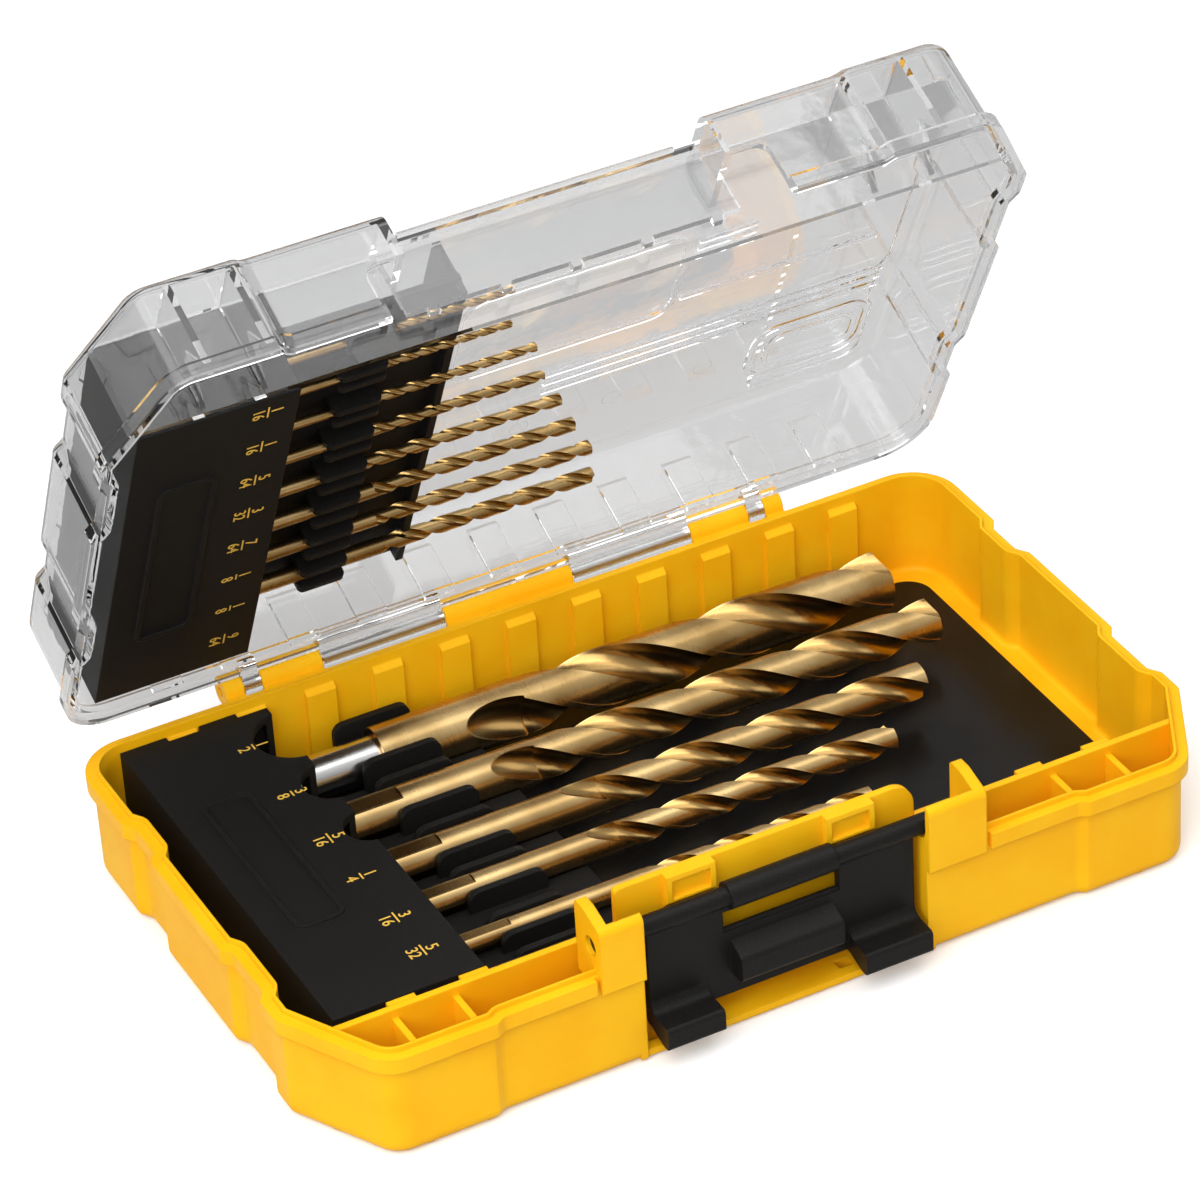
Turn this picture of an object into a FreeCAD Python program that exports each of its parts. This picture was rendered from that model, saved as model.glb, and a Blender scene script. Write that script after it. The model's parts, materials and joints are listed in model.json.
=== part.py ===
import FreeCAD, Part
import os
from math import atan2, cos, pi, radians, sin, sqrt, tan

V = FreeCAD.Vector

# A hinged storage case for fourteen twist drills, standing on its tub with the clear lid part open.
# Millimetres. X runs along the hinge, +Y towards the hinge, +Z up.
# The origin is the middle of the tub's underside.

# Driving dimensions of the whole case
case_length = 204.0
case_depth = 123.0
base_height = 25.0
lid_rise = 24.3
wall = 1.6
floor_thickness = 1.6
rim_gap = 0.2
open_angle = 63.7
overrun = 5.0
least_radius = 0.4

# Outline of the case seen from above
front_corner_run = 12.5
front_corner_depth = 23.5
front_step_half_share = 0.6275
front_step_slope = 2.0
front_step_depth = 1.2
end_groove_depth = 1.8
end_groove_slope = 2.75
# Starts and ends of the grooves in each end wall, as shares of the depth from the front
end_groove_shares = ((0.2439, 0.3984), (0.6626, 0.7805))
back_corner_radius = 11.0
front_corner_radius = 8.0
side_corner_radius = 6.0
small_corner_radius = 1.2

# Rim of the tub and of the lid
flange_reach = 1.4
flange_height = 3.5
flange_gap_half_share = 0.4314
lip_thickness = 0.7
lip_height = 1.0
lip_clearance = 0.25
base_edge_radius = 3.0
inner_edge_radius = 1.2

# Divider, wells and wall pads of the tub
divider_setback = 14.2
divider_thickness = 1.6
pad_width = 6.8
pad_depth = 1.2
pad_top_drop = 2.5
pad_slope = 1.2
pad_pitch_share = 0.153
pad_count_each_side = 5
tab_depth = 2.4
tab_width = 6.0
tab_pad_numbers = (4, 5)
well_rib_thickness = 1.4
well_rib_drop = 2.0
well_rib_shares = (-0.794, -0.667, 0.647, 0.775)

# Latch bay in the front wall
bay_centre_share = -0.0176
bay_half_width_share = 0.3098
tongue_setback = 10.0
tongue_thickness = 1.6
tongue_rise = 12.5
tongue_corner_radius = 5.0
ledge_height = 2.4
ledge_setback = 1.6
ledge_slot_width = 3.0
ledge_slot_depth = 2.4
ledge_slot_setback = 5.4
ledge_slot_shares = (-0.925, 0.455)
ear_reach_share = 0.4216
ear_front_rise = 11.0
ear_back_rise = 13.0
ear_slope_setback = 8.0
ear_rear_rise = 4.0
ear_root_drop = 4.0
ear_wall = 1.8
cheek_thickness = 2.4
hood_width = 10.8
hood_reach = 2.0
hood_root_rise = 4.4
hood_pocket_depth = 1.1
hood_rim = 1.2
hood_centre_shares = (-0.589, 0.604)

# Latch
pivot_setback = 5.5
pivot_rise = 5.5
rod_radius = 2.1
pivot_clearance = 0.08
channel_clearance = 0.5
rod_end_recess = 1.0
latch_side_clearance = 1.9
latch_plate_thickness = 2.0
latch_drop = 24.0
plate_drop = 23.2
latch_barrel_radius = 2.9
barrel_hood_clearance = 0.5
window_half_share = 0.4114
window_top_drop = 2.9
window_bottom_drop = 8.0
window_bar_height = 1.1
box_half_share = 0.3639
box_reach = 4.4
box_top_drop = 9.2
box_bottom_drop = 18.4
box_front_fall = 3.2
box_wall = 1.4
box_corner = 1.6
left_hook_width_share = 0.4
right_hook_width_share = 0.475
hook_fillet_drop = 17.6
hook_reach = 7.2
hook_lip_top_drop = 20.4
hook_lip_bottom_drop = 25.6
hook_fillet_radius = 2.6

# Hinge
hinge_setback = 3.8
hinge_radius = 3.0
pin_radius = 1.0
pin_bore_clearance = 0.02
knuckle_clearance = 0.08
knuckle_gap = 0.25
centre_barrel_half_share = 0.1471
wide_knuckle_end_share = 0.4265
base_knuckle_end_share = 0.5637
thin_knuckle_end_share = 0.6029
boss_end_share = 0.6471
hinge_web = 3.0
pin_inner_end_share = 0.098
pin_end_recess = 0.8

# Lid shell
lid_wall = 1.6
lid_top_thickness = 1.8
lid_edge_radius = 3.0
lid_recess_half_share = 0.3431
lid_recess_setback = 12.0
lid_recess_ledge_drop = 1.0
lid_recess_ledge_depth = 4.6
lid_mouth_half_share = 0.4314
lid_mouth_rise = 13.6
lid_mouth_depth = 13.8
lid_mouth_corner = 3.0
catch_ridge_height = 1.1
catch_ridge_depth = 1.6
catch_ridge_half_share = 0.299
lid_curtain_rise = 6.2
lid_tooth_width = 2.4
lid_tooth_drop = 1.4
lid_tooth_shares = (-0.8857, -0.4343, 0.0, 0.4486, 0.8943)
lid_band_start_share = 0.6765
lid_band_rise = 1.3
lid_band_inset = 5.0
lid_divider_setback = 16.0
lid_divider_thickness = 1.4
lid_well_rib_rise = 1.4
lid_well_notch = 9.5
lid_panel_rib_height = 0.6
lid_panel_rib_width = 1.2
plaque_corner = 6.0
window_frame_corner = 6.0
window_inner_corner = 4.0
lid_pad_depth = 1.0
lid_pad_rise = 14.0

# Low ribs inside the lid: left, right as shares of the half length, front, back as shares of the depth
plaque_shares = (-0.1176, 0.4020, 0.3600, 0.5894)
window_shares = (0.6373, 0.9216, 0.7520, 0.9020)
window_inner_shares = (0.6765, 0.8971, 0.7850, 0.8800)

# Straight ribs inside the lid: left and right as shares of the half length, place as a share of the depth
panel_rib_shares = (
    (0.4118, 0.8725, 0.5460),
    (0.1275, 0.9167, 0.6585),
    (0.1275, 0.9167, 0.6830),
    (0.1275, 0.9167, 0.7080),
    (0.4206, 0.5539, 0.3900),
    (0.4206, 0.5539, 0.4100),
    (0.4206, 0.5539, 0.4300),
)

# Card that lies on the tub's floor
card_thickness = 0.6
card_margin = 3.2
card_corner = 6.0
card_front_clearance = 3.4

# Drills
bit_floor_gap = 2.55
pocket_clearance = 0.3
web_share = 0.13
flute_cutter_share = 0.39
flute_pitch_share = 5.44
point_half_angle = 66.0
shank_flat_share = 0.86
shank_flat_length_share = 0.2157
least_flat_diameter = 4.5
least_runout_diameter = 3.8
reduced_shank_diameter = 9.525
collar_share = -0.4020
runout_wheel_share = 2.1
runout_excess_share = 0.05
runout_lead_angle = 8.0
runout_angle = 50.0
runout_tilt = 22.0
land_relief_share = 0.035
margin_angle = 14.0
shank_chamfer_share = 0.08

# Name, diameter, place from the front as a share of the depth, then tip, start and flute start as shares
# of the half length, and the share of a whole turn by which the flutes are turned
base_bit_shares = (
    ("bit_1_2_inch", 12.7, 0.8715, 0.8137, -0.6765, -0.2402, -0.014),
    ("bit_3_8_inch", 9.525, 0.7195, 0.8216, -0.6520, -0.2588, -0.076),
    ("bit_5_16_inch", 7.938, 0.5772, 0.6882, -0.6490, -0.1765, 0.311),
    ("bit_1_4_inch", 6.35, 0.4593, 0.5333, -0.6450, -0.1902, 0.324),
    ("bit_3_16_inch", 4.763, 0.3333, 0.3922, -0.6430, -0.1900, 0.0),
    ("bit_5_32_inch", 3.969, 0.2358, 0.2941, -0.6420, -0.1950, 0.0),
)
lid_bit_shares = (
    ("bit_1_16_inch_a", 1.588, 0.1821, -0.0970, -0.6420, -0.4400, 0.0),
    ("bit_1_16_inch_b", 1.588, 0.2791, -0.0824, -0.6420, -0.4300, 0.1),
    ("bit_5_64_inch", 1.984, 0.3761, -0.0088, -0.6430, -0.4150, 0.2),
    ("bit_3_32_inch", 2.381, 0.4731, 0.0284, -0.6440, -0.4000, 0.05),
    ("bit_7_64_inch", 2.778, 0.5701, 0.0863, -0.6450, -0.3600, 0.15),
    ("bit_1_8_inch_a", 3.175, 0.6671, 0.1382, -0.6460, -0.3200, 0.0),
    ("bit_1_8_inch_b", 3.175, 0.7641, 0.1961, -0.6460, -0.3000, 0.12),
    ("bit_9_64_inch", 3.572, 0.8611, 0.2225, -0.6470, -0.2700, 0.22),
)

# Bit holder in the tub
cover_top_drop = 1.0
cover_thickness = 1.8
cover_left_share = -0.9020
cover_right_share = -0.5843
holder_front_gap = 2.8
holder_back_gap = 0.3
skirt_thickness = 1.6
pocket_wall_thickness = 1.6
strip_rise = 6.6
strip_thickness = 1.6
strip_right_share = -0.1912
arched_bit_count = 3
cover_arch_scale = 1.35
cover_arch_depth_share = 0.87
clip_left_share = -0.4608
clip_right_share = -0.2892
clip_thickness = 1.5
clip_clearance = 0.25
clip_top_share = 0.85
clip_corner = 2.5
cover_frame_width = 1.0
cover_frame_height = 0.5
cover_frame_shares = (-0.8431, -0.7353, 0.3821, 0.7642)

# Bit holder in the lid
lid_cover_gap = 0.8
lid_cover_left_share = -0.9314
lid_cover_right_share = -0.5961
lid_cover_frame_shares = (-0.8676, -0.7451, 0.3171, 0.7724)
lid_bit_depth = 12.7
lid_strip_gap = 0.9
lid_strip_right_share = -0.2059
lid_clip_left_share = -0.4608
lid_clip_right_share = -0.3578
lid_clip_over_bit = 1.2
lid_clip_corner = 1.2
lid_holder_back_gap = 8.0

# Sizes worked out from the ones above
half_length = case_length / 2
front = -case_depth / 2
back = case_depth / 2
skin = flange_reach + wall
lid_skin = flange_reach + lid_wall
card_top = floor_thickness + card_thickness
front_step_half = front_step_half_share * half_length
flange_gap_half = flange_gap_half_share * half_length
ear_reach = ear_reach_share * half_length
pivot_y = front + pivot_setback
pivot_z = base_height + pivot_rise
pivot_hole_radius = rod_radius + pivot_clearance
hinge_y = back + hinge_setback
lid_rim = base_height + rim_gap
hinge_z = lid_rim
lid_top = lid_rim + lid_rise
lid_inner_top = lid_top - lid_top_thickness
bay_centre = bay_centre_share * half_length
bay_half_width = bay_half_width_share * half_length
bay_left = bay_centre - bay_half_width
bay_right = bay_centre + bay_half_width
latch_left = bay_left + latch_side_clearance
latch_right = bay_right - latch_side_clearance
left_hood_x, right_hood_x = [bay_centre + share * (latch_right - bay_centre) for share in hood_centre_shares]
tongue_y = front + tongue_setback
divider_y = front + divider_setback
centre_barrel_half = centre_barrel_half_share * half_length
wide_knuckle_end = wide_knuckle_end_share * half_length
base_knuckle_end = base_knuckle_end_share * half_length
thin_knuckle_end = thin_knuckle_end_share * half_length
boss_end = boss_end_share * half_length
pin_inner_end = pin_inner_end_share * half_length
lid_recess_half = lid_recess_half_share * half_length
lid_mouth_half = lid_mouth_half_share * half_length
lid_recess_y = front + lid_recess_setback
largest_bit_radius = base_bit_shares[0][1] / 2
base_bit_z = card_top + bit_floor_gap + largest_bit_radius
lid_bit_z = lid_inner_top - lid_bit_depth
cover_top = base_height - cover_top_drop
cover_left = cover_left_share * half_length
cover_right = cover_right_share * half_length
strip_right = strip_right_share * half_length
strip_top = card_top + strip_rise
lid_cover_left = lid_cover_left_share * half_length
lid_cover_right = lid_cover_right_share * half_length
lid_strip_right = lid_strip_right_share * half_length
divider_back = divider_y + divider_thickness
holder_front = divider_back + holder_front_gap
holder_back = back - skin - holder_back_gap
pad_pitch = pad_pitch_share * half_length


def block(x0, x1, y0, y1, z0, z1):
    return Part.makeBox(x1 - x0, y1 - y0, z1 - z0, V(x0, y0, z0))


def tube_along_x(x0, x1, y, z, radius):
    return Part.makeCylinder(radius, x1 - x0, V(x0, y, z), V(1, 0, 0))


def fuse_all(shapes):
    whole = shapes[0]
    if len(shapes) > 1:
        whole = whole.fuse(shapes[1:])
    return whole.removeSplitter()


def rounded_wire(corners, place):
    # Closed wire through (a, b, radius) corners, put in space by the given function of a and b.
    edges = []
    count = len(corners)
    ends = []
    for i in range(count):
        a, b, radius = corners[i]
        before = V(corners[i - 1][0] - a, corners[i - 1][1] - b, 0)
        after = V(corners[(i + 1) % count][0] - a, corners[(i + 1) % count][1] - b, 0)
        before.normalize()
        after.normalize()
        if radius <= 0:
            ends.append((V(a, b, 0), None, V(a, b, 0)))
            continue
        half = before.getAngle(after) / 2
        reach = radius / tan(half)
        middle = before + after
        middle.normalize()
        start = V(a, b, 0) + before * reach
        finish = V(a, b, 0) + after * reach
        crown = V(a, b, 0) + middle * (radius / sin(half) - radius)
        ends.append((start, crown, finish))
    for i in range(count):
        start, crown, finish = ends[i]
        if crown is not None:
            arc = Part.Arc(place(start.x, start.y), place(crown.x, crown.y), place(finish.x, finish.y))
            edges.append(arc.toShape())
        following = ends[(i + 1) % count][0]
        if (following - finish).Length > 1e-6:
            edges.append(Part.makeLine(place(finish.x, finish.y), place(following.x, following.y)))
    return Part.Wire(edges)


def prism(corners, z0, z1):
    wire = rounded_wire(corners, lambda a, b: V(a, b, z0))
    return Part.Face(wire).extrude(V(0, 0, z1 - z0))


def profile_along_x(corners, x0, x1):
    # Corners are (y, z, radius).
    wire = rounded_wire(corners, lambda a, b: V(x0, a, b))
    return Part.Face(wire).extrude(V(x1 - x0, 0, 0))


def profile_along_y(corners, y0, y1):
    # Corners are (x, z, radius).
    wire = rounded_wire(corners, lambda a, b: V(a, y0, b))
    return Part.Face(wire).extrude(V(0, y1 - y0, 0))


def plain(points):
    return [(a, b, 0) for a, b in points]


def mirrored(points):
    return [(-a, b, radius) for a, b, radius in reversed(points)]


def inset(corners, distance):
    # Moves every side of a counter-clockwise outline inwards and keeps its arcs concentric.
    moved = []
    count = len(corners)
    for i in range(count):
        a, b, radius = corners[i]
        into = V(a - corners[i - 1][0], b - corners[i - 1][1], 0)
        out = V(corners[(i + 1) % count][0] - a, corners[(i + 1) % count][1] - b, 0)
        into.normalize()
        out.normalize()
        turn = into.x * out.y - into.y * out.x
        along = into.x * out.x + into.y * out.y
        shift_x = -(into.y + out.y) / (1 + along)
        shift_y = (into.x + out.x) / (1 + along)
        if turn > 0:
            new_radius = max(radius - distance, least_radius)
        else:
            new_radius = radius + distance
        moved.append((a + shift_x * distance, b + shift_y * distance, new_radius))
    return moved


def case_outline():
    # Right half from the front to the back, then the same mirrored.
    groove = half_length - end_groove_depth
    right = [
        (front_step_half, front + front_step_depth, small_corner_radius),
        (front_step_half + front_step_slope, front, small_corner_radius),
        (half_length - front_corner_run, front, front_corner_radius),
        (half_length, front + front_corner_depth, side_corner_radius / 2),
    ]
    for start_share, end_share in end_groove_shares:
        start = front + start_share * case_depth
        end = front + end_share * case_depth
        right.append((half_length, start, small_corner_radius))
        right.append((groove, start + end_groove_slope, small_corner_radius))
        right.append((groove, end - end_groove_slope, small_corner_radius))
        right.append((half_length, end, small_corner_radius))
    right.append((half_length, back, back_corner_radius))
    return right + mirrored(right)


outline = case_outline()


def edges_at_height(shape, z):
    found = []
    for edge in shape.Edges:
        box = edge.BoundBox
        if abs(box.ZMin - z) < least_radius / 10 and abs(box.ZMax - z) < least_radius / 10:
            found.append(edge)
    return found


# Tub

def tub_body():
    outside = prism(inset(outline, flange_reach), 0, base_height)
    outside = outside.makeFillet(base_edge_radius, edges_at_height(outside, 0))
    room = prism(inset(outline, skin), floor_thickness, base_height + overrun)
    room = room.makeFillet(inner_edge_radius, edges_at_height(room, floor_thickness))
    flange = prism(outline, base_height - flange_height, base_height)
    flange = flange.cut(prism(inset(outline, flange_reach + wall / 2), 0, base_height + overrun))
    gap_back = front + front_step_depth + flange_reach
    flange = flange.cut(block(-flange_gap_half, flange_gap_half, front - overrun, gap_back,
                              0, base_height + overrun))
    lip = prism(inset(outline, skin - lip_thickness), base_height - lip_height, base_height + lip_height)
    lip = lip.cut(prism(inset(outline, skin), 0, base_height + overrun))
    lip = lip.cut(block(-ear_reach, ear_reach, front - overrun, divider_y, 0, base_height + overrun))
    return fuse_all([outside.cut(room), flange, lip])


def divider():
    reach = half_length - skin + wall / 2
    wall_piece = block(-reach, reach, divider_y, divider_back, floor_thickness / 2, base_height)
    pieces = [wall_piece]
    for side in (-1, 1):
        for number in tab_pad_numbers:
            x = side * number * pad_pitch
            pieces.append(block(x - tab_width / 2, x + tab_width / 2, divider_back - wall / 2,
                                divider_back + tab_depth, floor_thickness / 2, base_height - lip_height))
    front_inner = front + wall
    for share in well_rib_shares:
        x = share * half_length
        half = well_rib_thickness / 2
        pieces.append(block(x - half, x + half, front_inner, divider_y + divider_thickness / 2,
                            floor_thickness / 2, base_height - well_rib_drop))
    return fuse_all(pieces).common(prism(inset(outline, flange_reach + wall / 2), 0, base_height))


def wall_pads():
    # Upright pads with sloping tops on the inside of the back wall.
    inner = back - skin
    top = base_height - pad_top_drop
    pieces = []
    for number in range(-pad_count_each_side, pad_count_each_side + 1):
        x = number * pad_pitch
        shape = plain([(inner + wall / 2, floor_thickness / 2), (inner + wall / 2, top + pad_slope),
                       (inner, top + pad_slope), (inner - pad_depth, top),
                       (inner - pad_depth, floor_thickness / 2)])
        pieces.append(profile_along_x(shape, x - pad_width / 2, x + pad_width / 2))
    return pieces


def ear(side):
    # Block that carries one end of the latch's rod in an open channel.
    outer = side * ear_reach
    inner = bay_right if side > 0 else bay_left
    low, high = min(outer, inner), max(outer, inner)
    face = front + flange_reach
    rear = tongue_y + tongue_thickness
    root = base_height - ear_root_drop
    front_top = base_height + ear_front_rise
    back_top = base_height + ear_back_rise
    slope_y = front + ear_slope_setback
    side_shape = [(face, root, 0), (rear, root, 0), (rear, back_top, ear_wall / 2),
                  (slope_y, back_top, ear_wall), (face, front_top, ear_wall)]
    solid = profile_along_x(side_shape, low, high)
    cheek = outer - side * cheek_thickness
    channel_low, channel_high = min(cheek, inner - side * overrun), max(cheek, inner - side * overrun)
    radius = rod_radius + channel_clearance
    channel = tube_along_x(channel_low, channel_high, pivot_y, pivot_z, radius)
    open_top = block(channel_low, channel_high, pivot_y - radius, pivot_y + radius,
                     pivot_z, back_top + overrun)
    open_back = block(channel_low, channel_high, pivot_y, rear + overrun,
                      base_height + ear_rear_rise, back_top + overrun)
    hole = tube_along_x(low - overrun, high + overrun, pivot_y, pivot_z, pivot_hole_radius)
    return solid.cut([channel, open_top, open_back, hole])


def hoods():
    # Two shallow pockets that stand out of the tongue wall behind the latch.
    root = base_height + hood_root_rise
    top = base_height + tongue_rise
    lead = tongue_y - hood_reach
    pieces = []
    half = hood_width / 2
    for x in (left_hood_x, right_hood_x):
        shape = plain([(tongue_y + tongue_thickness / 2, root), (tongue_y + tongue_thickness / 2, top),
                       (lead, top), (lead, root + hood_reach), (tongue_y, root)])
        solid = profile_along_x(shape, x - half, x + half)
        pocket = block(x - half + hood_rim, x + half - hood_rim, lead - overrun, lead + hood_pocket_depth,
                       root + hood_reach + hood_rim / 2, top - hood_rim)
        pieces.append(solid.cut(pocket))
    return pieces


def latch_bay(body):
    step = front + front_step_depth + flange_reach
    rear = tongue_y + tongue_thickness
    surround = block(bay_left - wall, bay_right + wall, step, rear, floor_thickness / 2, base_height)
    body = body.fuse(surround)
    body = body.cut(block(bay_left, bay_right, front - overrun, tongue_y,
                          ledge_height, base_height + overrun))
    body = body.cut(block(bay_left, bay_right, front - overrun, front + flange_reach + ledge_setback,
                          -overrun, ledge_height + overrun))
    tongue_shape = [(bay_left - wall, base_height / 2, 0), (bay_right + wall, base_height / 2, 0),
                    (bay_right + wall, base_height + tongue_rise, tongue_corner_radius),
                    (bay_left - wall, base_height + tongue_rise, small_corner_radius)]
    tongue = profile_along_y(tongue_shape, tongue_y, rear)
    pieces = [body, tongue, ear(-1), ear(1)] + hoods()
    body = fuse_all(pieces)
    for share in ledge_slot_shares:
        x = bay_centre + share * bay_half_width
        slot_front = front + ledge_slot_setback
        body = body.cut(block(x - ledge_slot_width / 2, x + ledge_slot_width / 2, slot_front,
                              slot_front + ledge_slot_depth, -overrun, ledge_height + overrun))
    return body


def knuckle(x0, x1, web_low, web_high, bore):
    barrel = tube_along_x(x0, x1, hinge_y, hinge_z, hinge_radius)
    web = block(x0, x1, back - flange_reach, hinge_y, web_low, web_high)
    return barrel.fuse(web).cut(tube_along_x(x0 - overrun, x1 + overrun, hinge_y, hinge_z, bore))


def tub_knuckles():
    bore = pin_radius + pin_bore_clearance
    low = hinge_z - hinge_web
    pieces = []
    barrel = tube_along_x(-centre_barrel_half, centre_barrel_half, hinge_y, hinge_z, hinge_radius)
    web = block(-centre_barrel_half, centre_barrel_half, back - flange_reach, hinge_y, low, base_height)
    solid = barrel.fuse(web)
    for side in (-1, 1):
        start, end = sorted((side * pin_inner_end, side * (centre_barrel_half + overrun)))
        solid = solid.cut(tube_along_x(start, end, hinge_y, hinge_z, bore))
    pieces.append(solid)
    for first, last in ((wide_knuckle_end, base_knuckle_end), (thin_knuckle_end, boss_end)):
        for side in (-1, 1):
            x0, x1 = sorted((side * (first + knuckle_gap), side * last))
            pieces.append(knuckle(x0, x1, low, base_height, bore))
    return pieces


def base_shell():
    body = latch_bay(fuse_all([tub_body(), divider()] + wall_pads()))
    return fuse_all([body] + tub_knuckles())


# Hinge pins

def hinge_pin(side):
    x0, x1 = sorted((side * (pin_inner_end + pin_end_recess), side * (boss_end - pin_end_recess)))
    pin = tube_along_x(x0, x1, hinge_y, hinge_z, pin_radius)
    rims = [edge for edge in pin.Edges if edge.BoundBox.XLength < pin_radius / 4]
    return pin.makeChamfer(pin_radius / 4, rims)


# Latch

def hook(x0, x1):
    # Curled foot: the plate turns forwards into a lip that snaps over the lid's ledge.
    face = pivot_y - latch_plate_thickness / 2
    rear = pivot_y + latch_plate_thickness / 2
    tip = pivot_y - hook_reach - latch_plate_thickness / 2
    shape = [(rear, pivot_z - hook_fillet_drop + overrun, 0), (face, pivot_z - hook_fillet_drop + overrun, 0),
             (face, pivot_z - hook_lip_top_drop, hook_fillet_radius),
             (tip, pivot_z - hook_lip_top_drop, latch_plate_thickness / 2),
             (tip, pivot_z - hook_lip_bottom_drop, latch_plate_thickness / 2),
             (tip + hook_fillet_radius, pivot_z - hook_lip_bottom_drop, latch_plate_thickness / 2),
             (face, pivot_z - latch_drop, latch_plate_thickness),
             (rear, pivot_z - latch_drop, small_corner_radius)]
    return profile_along_x(shape, x0, x1)


def latch():
    face = pivot_y - latch_plate_thickness / 2
    rear = pivot_y + latch_plate_thickness / 2
    centre = (latch_left + latch_right) / 2
    rod = tube_along_x(-ear_reach + rod_end_recess, ear_reach - rod_end_recess, pivot_y, pivot_z, rod_radius)
    plate_shape = [(latch_left, pivot_z - plate_drop, 0),
                   (latch_right, pivot_z - plate_drop, 0), (latch_right, pivot_z, 0),
                   (latch_left, pivot_z, 0)]
    plate = profile_along_y(plate_shape, face, rear)
    half_hood = hood_width / 2 + barrel_hood_clearance
    barrel = tube_along_x(left_hood_x + half_hood, right_hood_x - half_hood, pivot_y, pivot_z,
                          latch_barrel_radius)
    window_half = window_half_share * bay_half_width
    window = block(centre - window_half, centre + window_half, face - overrun, rear + overrun,
                   pivot_z - window_bottom_drop, pivot_z - window_top_drop)
    bar = tube_along_x(centre - window_half - wall, centre + window_half + wall, pivot_y,
                       pivot_z - window_bottom_drop, window_bar_height / 2)
    box_half = box_half_share * bay_half_width
    box_low = pivot_z - box_bottom_drop
    box_high = pivot_z - box_top_drop
    box_front_high = box_high - box_front_fall
    box_shape = [(rear, box_low, 0), (rear, box_high, 0), (face - box_reach, box_front_high, box_corner),
                 (face - box_reach, box_low, box_corner)]
    box = profile_along_x(box_shape, centre - box_half, centre + box_half)
    room = block(centre - box_half + box_wall, centre + box_half - box_wall, face - box_reach + box_wall,
                 rear + overrun, box_low + box_wall, box_front_high - box_wall)
    left_hook = hook(latch_left, latch_left + left_hook_width_share * bay_half_width)
    right_hook = hook(latch_right - right_hook_width_share * bay_half_width, latch_right)
    body = fuse_all([plate.cut(window), rod, barrel, bar, box, left_hook, right_hook])
    return body.cut(room)


# Lid, modelled shut and then swung to its resting angle

def swung(shape):
    shape.rotate(V(0, hinge_y, hinge_z), V(1, 0, 0), -open_angle)
    return shape


def lid_box():
    outside = prism(inset(outline, flange_reach), lid_rim, lid_top)
    outside = outside.makeFillet(lid_edge_radius, edges_at_height(outside, lid_top))
    bands = []
    band_outline = inset(outline, flange_reach + lid_band_inset)
    ring = prism(band_outline, lid_top - lid_top_thickness / 2, lid_top + lid_band_rise)
    ring = ring.makeFillet(lid_band_rise / 2, edges_at_height(ring, lid_top + lid_band_rise))
    for side in (-1, 1):
        x0, x1 = sorted((side * lid_band_start_share * half_length, side * half_length))
        bands.append(ring.common(block(x0, x1, front, back, lid_rim, lid_top + overrun)))
    flange = prism(outline, lid_rim, lid_rim + flange_height)
    flange = flange.cut(block(-lid_mouth_half, lid_mouth_half, front - overrun,
                              front + front_step_depth + flange_reach, 0, lid_top))
    return fuse_all([outside, flange] + bands)


def lid_room():
    room = prism(inset(outline, lid_skin), lid_rim - overrun, lid_inner_top)
    room = room.makeFillet(inner_edge_radius, edges_at_height(room, lid_inner_top))
    guard = lid_recess_half + lid_wall
    room = room.cut(block(-guard, guard, front - overrun, lid_recess_y + lid_wall, 0, lid_top))
    ledge_low = lid_inner_top - lid_recess_ledge_drop
    ledge_back = lid_recess_y + lid_recess_ledge_depth + lid_wall
    room = room.cut(block(-guard, guard, front - overrun, ledge_back, ledge_low, lid_top))
    return room


def lid_mouth():
    # Opening in the lid's front that clears the ears and the tongue.
    # The recess wall hangs down behind the tongue.
    shape = [(-lid_mouth_half, lid_rim - overrun, 0), (lid_mouth_half, lid_rim - overrun, 0),
             (lid_mouth_half, lid_rim + lid_mouth_rise, lid_mouth_corner),
             (-lid_mouth_half, lid_rim + lid_mouth_rise, lid_mouth_corner)]
    opening = profile_along_y(shape, front - overrun, lid_recess_y)
    below = block(-lid_mouth_half, lid_mouth_half, front, front + lid_mouth_depth,
                  0, lid_rim + lid_curtain_rise)
    return opening.fuse(below)


def lid_recess():
    ledge = lid_top - lid_recess_ledge_drop
    deep = block(-lid_recess_half, lid_recess_half, front - overrun, lid_recess_y, 0, lid_top + overrun)
    shelf = block(-lid_recess_half, lid_recess_half, front, lid_recess_y + lid_recess_ledge_depth,
                  ledge, lid_top + overrun)
    return deep.fuse(shelf)


def lid_front_details():
    # Ridge on the shelf that the latch snaps over, and teeth under the recess wall.
    ledge = lid_top - lid_recess_ledge_drop
    low = ledge - lid_top_thickness / 2
    crest = lid_recess_y + catch_ridge_depth
    ridge_top = ledge + catch_ridge_height
    ridge_shape = [(lid_recess_y, low, 0), (crest, low, 0), (crest, ridge_top, catch_ridge_depth / 3),
                   (lid_recess_y, ridge_top, catch_ridge_depth / 3)]
    ridge_half = catch_ridge_half_share * half_length
    pieces = [profile_along_x(ridge_shape, -ridge_half, ridge_half)]
    curtain_low = lid_rim + lid_curtain_rise
    for share in lid_tooth_shares:
        x = share * lid_recess_half
        pieces.append(block(x - lid_tooth_width / 2, x + lid_tooth_width / 2,
                            lid_recess_y, lid_recess_y + lid_wall,
                            curtain_low - lid_tooth_drop, curtain_low + lid_tooth_drop))
    return pieces


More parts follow.
